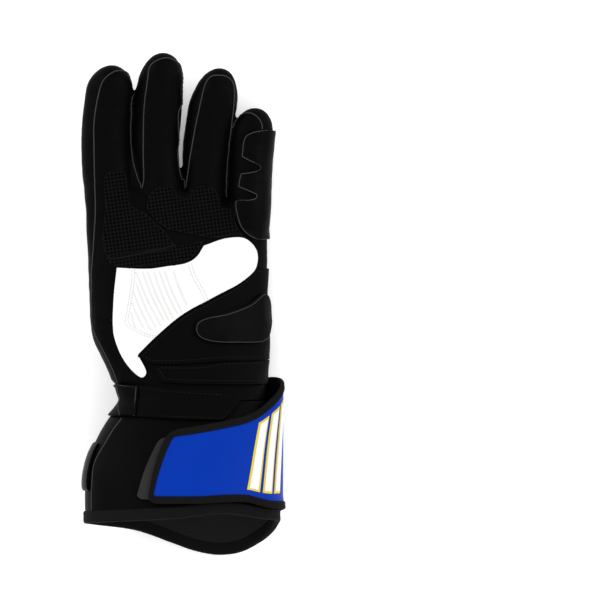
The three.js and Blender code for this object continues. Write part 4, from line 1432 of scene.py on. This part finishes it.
@dataclass
class LittleFingerGuard(SewnPart):
    """The plate that wraps the outer side of the little finger, with two notches in its edge."""

    thick: float = 1.6
    finger: int = 3  # its place among the hand's limbs
    lowest_turn: float = -25.0  # how far it reaches down the finger's outer side
    degree: float = 0.24  # mm of the finger's skin in a degree
    foot: Row = (58.0, 42.0)  # where its edge ends
    edge: tuple[Rows, ...] = (  # seen from the palm, from its top down
        ((57.0, 111.4), (53.6, 111.2), (46.2, 110.0), (41.9, 107.6), (40.3, 104.4), (39.8, 99.6)),
        ((39.2, 94.8), (44.0, 92.2), (50.7, 89.0), (51.3, 87.0), (49.4, 85.6), (44.0, 84.3)),
        ((38.7, 83.6), (37.6, 79.4)),
        ((37.2, 75.3), (43.0, 73.0), (48.6, 70.1), (48.3, 68.2), (45.1, 66.9)),
        ((35.5, 66.6), (35.2, 63.4), (36.6, 55.9), (39.2, 49.0), (44.0, 44.2), (49.4, 42.0), (56.0, 42.0)),
    )

    def section(self, turn: Points, y: Points, offset: float) -> Points:
        """Points round the finger.

        Args:
            turn: Degrees: 0 is the outer side and 90 the palm.
            y: Distance along the finger, mm.
            offset: Distance out of its skin, mm.

        Returns:
            Points, mm.
        """
        limb = HandLeather.limbs[self.finger]
        x, z, wide, thick = SmoothTable(limb.rows).at(y).T
        angle, lean = np.radians(turn), math.radians(limb.roll)
        u, w = np.cos(angle) * (wide + offset), np.sin(angle) * (thick + offset)
        across = x + u * math.cos(lean) + w * math.sin(lean)
        return np.stack([across, y, z - u * math.sin(lean) + w * math.cos(lean)], 1)

    def turn_at(self, x: float, y: float) -> float:
        """Turn at which the finger's palm side has an x.

        Args:
            x: Distance across, mm.
            y: Distance along the finger, mm.

        Returns:
            Degrees round the finger.
        """
        turns = np.arange(0.0, 176.0, 1.0)
        across = self.section(turns, np.full(turns.shape, y), GAP)[:, 0]
        first = int(np.argmax(across))
        return float(np.interp(-x, -across[first:], turns[first:]))

    def make(self) -> None:
        """Builds the guard over the little finger, and the welt along its edge."""
        starts = [run[:1] for run in self.edge[1:]] + [(self.foot,)]
        runs = [smooth_line(run + after, 0.6)[:-1] for run, after in zip(self.edge, starts)]
        line = np.vstack(runs)
        turned = np.array([(-self.turn_at(x, y) * self.degree, y) for x, y in line])
        outer = -self.lowest_turn * self.degree
        back = np.array([(outer, y) for y in np.linspace(turned[-1, 1], turned[0, 1], 60)])
        piece = cut_panel("little_finger_plate", np.vstack([turned, back]), 1.8)
        flat = points_of(piece)
        set_points(piece, self.section(-flat[:, 0] / self.degree, flat[:, 1], 2.5))
        hug(piece, self.skin)
        round_rim(thicken(piece, self.thick, 0.0), 0.55, 3)
        self.shop.keep(piece, MOULDED, Slot.SLIDER, Node.GUARD)
        welt = Surface(piece).drop(line[2:-2] + (0.55, 0.0), 0.05)
        self.shop.keep(piping("little_finger_plate_welt", welt, 0.3), GREY_THREAD, Slot.SLIDER)


# The gauntlet


@dataclass
class Gauntlet(Part):
    """The flared cuff: leather, lining, the guard on its back and the tape round its edge."""

    wall: float = 1.9
    seam: Rows = (
        (-37.2, -72.8), (-42.5, -80.0), (-48.3, -89.6), (-54.7, -101.8), (-56.3, -116.5), (-56.6, -133.0),
    )
    lining_turns: Row = (190, 160)  # where round the cuff it starts, and how far it goes
    lining_inside: float = 3.2  # how far inside the cuff's outer skin it hangs
    lining_top: float = -84.0
    lining_down: float = 0.058  # flat depth of the cloth, metres
    plate_turns: Row = (160, 130)
    plate: Profile = Profile((  # height above the gauntlet, distance along the arm
        (0.9, -88.0), (1.5, -89.5), (2.1, -94.0), (2.5, -100.0), (2.7, -107.0), (2.7, -113.0),
        (2.4, -116.8), (1.7, -118.6), (0.9, -119.2), (0.8, -113.0), (0.8, -104.0), (0.8, -94.0),
        (0.9, -88.0),
    ))
    tape: Profile = Profile((  # height above the gauntlet, distance up from its edge
        (0.25, BINDING_WIDE), (0.7, BINDING_WIDE + 0.3), (1.0, BINDING_WIDE), (TAPE_OUT, BINDING_WIDE / 2),
        (1.05, 0.4), (0.5, -0.5), (-1.0, -0.8), (-2.5, -0.5), (-3.05, 0.4), (-3.1, BINDING_WIDE / 2),
        (-3.0, BINDING_WIDE), (-2.6, BINDING_WIDE + 0.3), (-2.2, BINDING_WIDE), (-2.2, 0.8), (-1.0, 0.3),
        (0.2, 0.8), (0.25, BINDING_WIDE),
    ))

    def make(self) -> None:
        """Builds the gauntlet."""

        def leather(u: Points, v: Points) -> Points:
            """Points of the cuff, with slow waves where it doesn't rest.

            Args:
                u: Shares from 0 to 1 round the arm.
                v: Shares from 0 to 1 down it.

            Returns:
                Points, mm.
            """
            turn = u * 360
            y = (WRIST_JOIN - GAP) + (FORM.rim(turn) + 0.6 - WRIST_JOIN + GAP) * v
            points = FORM.point(turn, y, 0.0)
            along = points[:, 1]
            wave = np.sin(np.radians(turn) * 5 + along * 0.05) * 0.35 + np.sin(along * 0.16) * 0.3
            points[:, 2] += np.where(points[:, 2] > 6, wave, 0)
            return points

        cuff = laid_sheet("gauntlet_leather", 160, 60, leather)
        merge_close(cuff, "VERT", SEAM)
        thicken(cuff, -self.wall)
        self.shop.keep(cuff, BLACK_LEATHER, Slot.BLACK, Node.CUFF_PALM, Node.CUFF_BACK)
        self.sew_seam(Surface(cuff))
        self.line()
        self.guard()
        self.bind()

    def sew_seam(self, skin: Surface) -> None:
        """Sews the seam down the thumb's side.

        Args:
            skin: The gauntlet's skin.
        """
        line = skin.drop(smooth_line(self.seam), 0.1)
        self.shop.keep(piping("gauntlet_welt", line, 0.45), GREY_THREAD, Slot.BLACK)
        beside = skin.drop(smooth_line(np.array(self.seam) + (1.8, 0.6)), 0.1)
        row = Stitch(2.0, 2.8).sew("gauntlet_seam_stitches", beside)
        self.shop.keep(row, BLACK_THREAD, Slot.BLACK)

    def line(self) -> None:
        """Builds the cloth that lines the back wall."""

        def place(u: Points, v: Points) -> Points:
            """Points of the cloth.

            Args:
                u: Shares from 0 to 1 across it.
                v: Shares from 0 to 1 down it.

            Returns:
                Points, mm.
            """
            first, wide = self.lining_turns
            turn = first + wide * u
            end = FORM.rim(turn) + BINDING_WIDE + GAP
            return FORM.point(turn, self.lining_top + (end - self.lining_top) * v, -self.lining_inside)

        piece = laid_sheet("gauntlet_lining", 90, 40, place)
        thicken(piece, -1.0, 0.0)
        self.shop.keep(piece, LINING_CLOTH, Slot.LINING, Node.LINING)

    def guard(self) -> None:
        """Builds the plate on the back of the cuff, whose edge shows at the thumb's side."""

        def place(u: Points, v: Points) -> Points:
            """Points round the cuff and round the plate's section."""
            height, y = self.plate.at(v)
            return FORM.point(self.plate_turns[0] + self.plate_turns[1] * u, y, height)

        piece = laid_sheet("gauntlet_back_plate", 70, 48, place)
        cap_ends(piece)
        self.shop.keep(smooth(piece, 60), MOULDED, Slot.SLIDER, Node.CUFF_GUARD)

    def bind(self) -> None:
        """Builds the tape folded over the gauntlet's edge, with its stitches."""

        def place(u: Points, v: Points) -> Points:
            """Points round the edge and round the tape's section."""
            offset, rise = self.tape.at(v)
            return FORM.point(u * 360, FORM.rim(u * 360) + rise, offset)

        piece = laid_sheet("gauntlet_edge_tape", 200, 48, place)
        close_shell(piece)
        self.shop.keep(smooth(piece), BINDING_TAPE, Slot.BINDING, Node.RIM)
        turn = np.linspace(0, 360, 361)
        line = FORM.point(turn, FORM.rim(turn) + BINDING_WIDE - 1.2, TAPE_OUT + 0.08)
        row = Stitch(2.2, 3.0).sew("gauntlet_edge_stitches", line[line[:, 2] > 1.5][1:])
        self.shop.keep(row, BLACK_THREAD, Slot.BINDING)


@dataclass
class WristStrap(Part):
    """The strap round the wrist and the loop that keeps it at the thumb's side."""

    rows: Rows = (  # turn, upper edge, lower edge
        (46, -58.8, -74.6), (60, -57.6, -74.6), (78, -56.0, -74.4), (100, -54.2, -73.4),
        (125, -52.0, -72.2), (150, -51.2, -71.6), (180, -51.0, -71.4), (225, -51.0, -71.4),
        (270, -51.0, -71.4), (310, -51.0, -71.4),
    )
    tip_turn: float = 53.5  # turn of the free end's upper corner
    tip_lean: float = 17.5  # degrees by which its lower corner is further round
    last_turn: float = 309
    height: float = 0.7  # above the hand's form
    middle: Row = (7.0, 0.0, 33.0)  # of the wrist
    keeper_height: float = 2.4  # above the hand's form

    def __post_init__(self) -> None:
        """Makes the reader of the strap's edges."""
        self.table = SmoothTable(self.rows)

    def strap(self, u: Points, v: Points) -> Points:
        """Points of the strap, whose free end is cut at a slant.

        Args:
            u: 0 at the free end, 1 on the back.
            v: 0 at the upper edge, 1 at the lower edge.

        Returns:
            Points, mm.
        """
        start = self.tip_turn + self.tip_lean * v
        turn = start + (self.last_turn - start) * u
        top, bottom = self.table.at(turn).T
        return FORM.point(turn, top + (bottom - top) * v, self.height)

    def make(self) -> None:
        """Builds the strap and its keeper."""
        piece = thicken(laid_sheet("wrist_strap_leather", 150, 14, self.strap), 1.4, 0.35)
        self.shop.keep(piece, BLACK_LEATHER, Slot.BLACK, Node.STRAP)
        along, down = np.linspace(0.012, 0.99, 260), np.linspace(0.1, 0.9, 16)
        ways = {"upper": (along, 0.1), "lower": (along, 0.9), "end": (0.012, down)}
        rows = [
            Stitch().sew(f"strap_{name}", self.out(self.strap(*np.broadcast_arrays(*way)), 1.55))
            for name, way in ways.items()
        ]
        self.shop.keep(join("wrist_strap_stitches", rows), BLACK_THREAD, Slot.BLACK)
        loop = thicken(laid_sheet("strap_keeper_leather", 24, 20, self.keeper), 1.3, 0.35)
        self.shop.keep(loop, BLACK_LEATHER, Slot.BLACK, Node.KEEPER)
        ends = np.linspace(0.02, 0.98, 30)
        sides = {"inner": (0.03, ends, 0.3), "outer": (0.97, ends, 0.3), "upper": (ends, 0.03, 0.22)}
        cords = [
            piping(f"keeper_{name}_welt", self.out(self.keeper(*np.broadcast_arrays(u, v)), 1.35), radius)
            for name, (u, v, radius) in sides.items()
        ]
        self.shop.keep(join("strap_keeper_welt", cords), GREY_THREAD, Slot.BLACK)

    def turn_at(self, x: float, y: float) -> float:
        """Turn on the thumb's half of the palm side at which the keeper has an x.

        Args:
            x: Distance across, mm.
            y: Distance along the arm, mm.

        Returns:
            Degrees round the form.
        """
        turns = np.arange(90.0, 164.5, 0.5)
        across = FORM.point(turns, np.full(turns.shape, y), self.keeper_height)[:, 0]
        return float(np.interp(-x, -across, turns))

    def keeper(self, u: Points, v: Points) -> Points:
        """Points of the keeper, whose ends run nearly straight down the arm.

        Args:
            u: 0 at the inner end, 1 at the outer end.
            v: 0 at the upper edge, 1 at the lower edge.

        Returns:
            Points, mm.
        """
        placed = []
        for share, down in zip(u, v):
            y = -52.4 + 1.8 * share - (19.2 + 1.2 * share) * down
            start, end = self.turn_at(-26.4 - 1.8 * down, y), self.turn_at(-40.8 + 3.1 * down, y)
            placed.append((start + (end - start) * share, y))
        return FORM.point(*np.array(placed).T, self.keeper_height)

    def out(self, line: Points, distance: float) -> Points:
        """Moves a line away from the middle of the wrist.

        Args:
            line: Its points, mm.
            distance: How far, mm.

        Returns:
            The moved points.
        """
        away = (line - self.middle) * (1, 0, 1)
        return line + away / np.linalg.norm(away, axis=1)[:, None] * distance


@dataclass
class Flap(Part):
    """The closing flap: its leather, the tape round it, its stripes and the tab under its end."""

    border: float = 4.8
    low: float = 2.5
    reach: float = 61.9  # x that the flap's inside keeps at the little finger's side
    hinge: float = -58.0  # turn of the end that is sewn on
    end_turn: float = 97.5  # turn of the free end's upper corner
    end_lean: float = 7.1  # degrees by which its lower corner is further round
    inset_turn: float = 0.68  # degrees for a mm of the flap
    corner: Row = (0.034, 0.1)  # a rounded corner's shares of the length and of the height
    rows: Rows = (  # turn, upper edge, lower edge, stand
        (118, -82.6, -127.3, 0), (100, -81.2, -127.6, 0), (84, -77.2, -127.6, 0), (68, -73.9, -126.6, 0),
        (54, -71.0, -126.8, 0.1), (42, -66.9, -129.2, 0.3), (31, -61.4, -130.4, 0.6),
        (20, -55.7, -130.6, 0.9), (8, -50.6, -130.6, 1), (-8, -47.0, -131.2, 1), (-24, -46.4, -132.8, 0.8),
        (-42, -48.0, -135.4, 0.45), (-60, -52.0, -138.4, 0.1),
    )
    tape: Profile = Profile((  # distance inside the edge, height
        (4.9, 4.2), (4.8, 4.7), (4.1, 4.9), (0.9, 4.9), (0.25, 4.6), (0.0, 3.6), (0.25, 2.5), (0.9, 2.25),
        (4.6, 2.25), (4.9, 2.4), (4.9, 4.2),
    ))
    stripe_starts: Row = (0.33, 0.415, 0.50)  # shares of the flap's length

    def __post_init__(self) -> None:
        """Makes the reader of the flap's edges."""
        self.table = SmoothTable(self.rows)

    def place(self, along: Points, down: Points, offset: Points | float, inset: Points | float) -> Points:
        """Points of the flap, which stands off the wrist at the little finger's side.

        Args:
            along: 0 at the free end, 1 at the hinge.
            down: 0 at the upper edge, 1 at the lower edge.
            offset: Height above the gauntlet, mm.
            inset: Distance inside its edges, mm.

        Returns:
            Points, mm.
        """
        end = self.end_turn + self.end_lean * down - inset * self.inset_turn
        turn = end + (self.hinge - end) * along
        top, bottom, stand = self.table.at(turn).T
        y = (top - inset) + (bottom - top + 2 * inset) * down
        spare = np.maximum(0, self.reach - FORM.sections.at(y)[:, 1]) * stand
        return FORM.point(turn, y, offset + spare)

    def make(self) -> None:
        """Builds the flap and what is on and under it."""

        def panel(u: Points, v: Points) -> Points:
            """Points of the leather, inside its tape.

            Args:
                u: Shares from 0 to 1 from the hinge to the free end.
                v: Shares from 0 to 1 down it.

            Returns:
                Points, mm.
            """
            along = (1 - u) ** 1.15
            cut = self.rounding(along / 0.02) * 0.05
            return self.place(along, cut + (1 - 2 * cut) * v, self.low, self.border - 0.6)

        piece = thicken(laid_sheet("flap_leather", 110, 40, panel), 1.6, 0.0)
        for finish in (BLUE_LEATHER, BLACK_LEATHER):
            piece.data.materials.append(finish.material())
        for face in piece.data.polygons:
            away = face.center - Vector((0, face.center.y, 0.043))
            face.material_index = 0 if face.normal.dot(away) > 0 else 1
        self.shop.keep(piece, BLUE_LEATHER, Slot.BLUE, Node.FLAP)
        self.bind()
        self.tab()
        self.stripes()

    @staticmethod
    def rounding(share: Points) -> Points:
        """How much of a corner is rounded off at a share of its length, from 1 at its start to 0."""
        return 1 - np.sqrt(np.clip(1 - (1 - np.clip(share, 0, 1)) ** 2, 0, 1))

    def path(self, size: float) -> Points:
        """Shares along and down for the border: the upper edge, the free end and the lower edge.

        Args:
            size: Size of the rounded corners: 1 is that of the outer edge.

        Returns:
            Rows of the two shares.
        """
        wide, high = self.corner
        turn = np.radians(np.linspace(0, 90, 9))
        bend = np.column_stack([wide * (1 - np.sin(turn)), high * (1 - np.cos(turn))]) * size
        upper = np.column_stack([np.linspace(1, wide * size, 90)[:-1], np.zeros(89)])
        end = np.column_stack([np.zeros(12), np.linspace(high * size, 1 - high * size, 14)[1:-1]])
        half = np.vstack([upper, bend])
        return np.vstack([half, end, np.column_stack([half[:, 0], 1 - half[:, 1]])[::-1]])

    def bind(self) -> None:
        """Builds the folded tape round three sides of the flap."""
        outer, inner = self.path(1.0), self.path(0.25)
        stops = np.linspace(0, 1, len(outer))

        def place(u: Points, v: Points) -> Points:
            """Points of the tape.

            Args:
                u: Shares from 0 to 1 along the border.
                v: Shares from 0 to 1 round its section.

            Returns:
                Points, mm.
            """
            inset, height = self.tape.at(v)
            blend = inset / self.border
            along, down = (
                np.interp(u, stops, outer[:, k]) * (1 - blend) + np.interp(u, stops, inner[:, k]) * blend
                for k in (0, 1)
            )
            return self.place(along, down, height, inset)

        piece = laid_sheet("flap_edge_tape", len(outer) - 1, 40, place)
        cap_ends(piece)
        self.shop.keep(smooth(piece, 45), BINDING_TAPE, Slot.BINDING, Node.FLAP_BINDING)
        line = self.place(*outer.T, 4.98, 3.8)[2:-2]
        self.shop.keep(Stitch(2.1, 2.9).sew("flap_edge_stitches", line), BLACK_THREAD, Slot.BINDING)

    def tab(self) -> None:
        """Builds the hook tab, seen beyond the flap's free end."""

        def place(u: Points, v: Points) -> Points:
            """Points of the tab, with rounded corners at its end.

            Args:
                u: Shares from 0 to 1 along it.
                v: Shares from 0 to 1 down it.

            Returns:
                Points, mm.
            """
            turn = 86 + (16.6 + 8.9 * v) * u
            out = self.rounding((1 - u) / 0.2)
            top, bottom = -81.0 - 6.0 * u - 3.0 * out, -124.8 + 2.5 * out
            return FORM.point(turn, top + (bottom - top) * v, 0.75)

        piece = thicken(laid_sheet("hook_tab_tape", 40, 34, place), 1.0)
        self.shop.keep(piece, HOOK_TAPE, Slot.HOOK, Node.HOOK_TAB)

    def stripes(self) -> None:
        """Builds slanting stripes near the little finger's side, white with yellow borders."""
        kinds = (("border", YELLOW_LEATHER, 0.020, 3.9), ("face", WHITE_LEATHER, 0.0, 4.25))
        for name, finish, spread, height in kinds:
            parts = []
            for number, start in enumerate(self.stripe_starts):

                def place(u: Points, v: Points, start: float = start) -> Points:
                    """Points of one stripe.

                    Args:
                        u: Shares from 0 to 1 across it.
                        v: Shares from 0 to 1 down it.
                        start: Where it is, as a share of the flap's length.

                    Returns:
                        Points, mm.
                    """
                    down = 0.10 - spread * 1.2 + (0.80 + spread * 2.4) * v
                    along = start - spread * 0.55 + (0.045 + spread * 1.1) * (1 - u) - 0.05 * (v - 0.5)
                    return self.place(along, down, height, self.border)

                parts.append(thicken(laid_sheet(f"stripe_{number}", 8, 40, place), 0.4, 0.0))
            self.shop.keep(join(f"flap_stripe_{name}", parts), finish, Slot.BLUE)


# Studio


@dataclass
class Studio:
    """Pale floor, soft light and a camera straight above, as the glove is seen in the photograph."""

    pixel: float = 0.64  # mm
    pixels: int = 608  # of the photograph, across
    middle: Row = (179.5, 304.0)  # the pixel where the tables' axes start
    centre: Row = (303.5, 303.5)  # the pixel that the camera looks at
    lamps: tuple[tuple[str, Row, float], ...] = (  # name, place in metres, power
        ("left softbox", (-0.9, 0.55, 0.75), 8),
        ("right softbox", (1.0, 0.35, 0.8), 6),
        ("arm softbox", (0.1, -1.1, 0.8), 6),
    )
    lamp_size: float = 0.9  # metres

    def make(self) -> None:
        """Sets the stage."""
        scene = bpy.context.scene
        scene.view_settings.view_transform = "Standard"
        select()
        bpy.ops.mesh.primitive_plane_add(size=6, location=(0, 0, -0.0002))
        floor = take("studio_floor")
        floor.data.transform(Matrix.Translation(floor.location))
        floor.location = (0, 0, 0)
        paper = bpy.data.materials.new("white paper")
        graph = Graph(paper)
        graph.feed(graph.main, {
            "Base Color": (0.98, 0.98, 0.98, 1), "Roughness": 0.9, "Specular IOR Level": 0.1,
            "Emission Color": (1, 1, 1, 1), "Emission Strength": 0.2,
        })
        floor.data.materials.append(paper)
        self.camera()
        scene.world = bpy.data.worlds.new("studio air")
        air = Graph(scene.world, "Background")
        air.feed(air.main, {"Color": (1, 1, 1, 1), "Strength": 0.9})
        for name, spot, power in self.lamps:
            self.lamp(name, spot, power)

    def camera(self) -> None:
        """Sets the camera, parallel and straight down, with the photograph's scale and place."""
        data = bpy.data.cameras.new("view")
        data.type = "ORTHO"
        data.ortho_scale = self.pixels * self.pixel * MM
        camera = bpy.data.objects.new("view", data)
        bpy.context.collection.objects.link(camera)
        x = (self.centre[0] - self.middle[0]) * self.pixel - MIDDLE[0]
        y = (self.middle[1] - self.centre[1]) * self.pixel - MIDDLE[1]
        camera.location = (x * MM, y * MM, 1.2)
        bpy.context.scene.camera = camera

    def lamp(self, name: str, spot: Row, power: float) -> None:
        """Sets a square softbox that faces the glove.

        Args:
            name: Its name.
            spot: Its place, metres.
            power: Its power, watts.
        """
        data = bpy.data.lights.new(name, "AREA")
        data.energy = power
        data.size = self.lamp_size
        lamp = bpy.data.objects.new(name, data)
        lamp.location = spot
        lamp.rotation_euler = (-Vector(spot)).to_track_quat("-Z", "Y").to_euler()
        bpy.context.collection.objects.link(lamp)


def main() -> None:
    """Builds the glove, piece by piece."""
    logging.basicConfig(level=logging.INFO, format="%(name)s: %(message)s")
    shop = Workshop()
    Studio().make()
    skin = HandLeather(shop).make()
    Patches(shop, skin).make()
    LittleFingerGuard(shop, skin).make()
    Gauntlet(shop).make()
    WristStrap(shop).make()
    Flap(shop).make()
    bpy.data.objects.remove(skin.piece, do_unlink=True)
    shop.hand_over()
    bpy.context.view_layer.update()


if __name__ == "__main__":
    main()
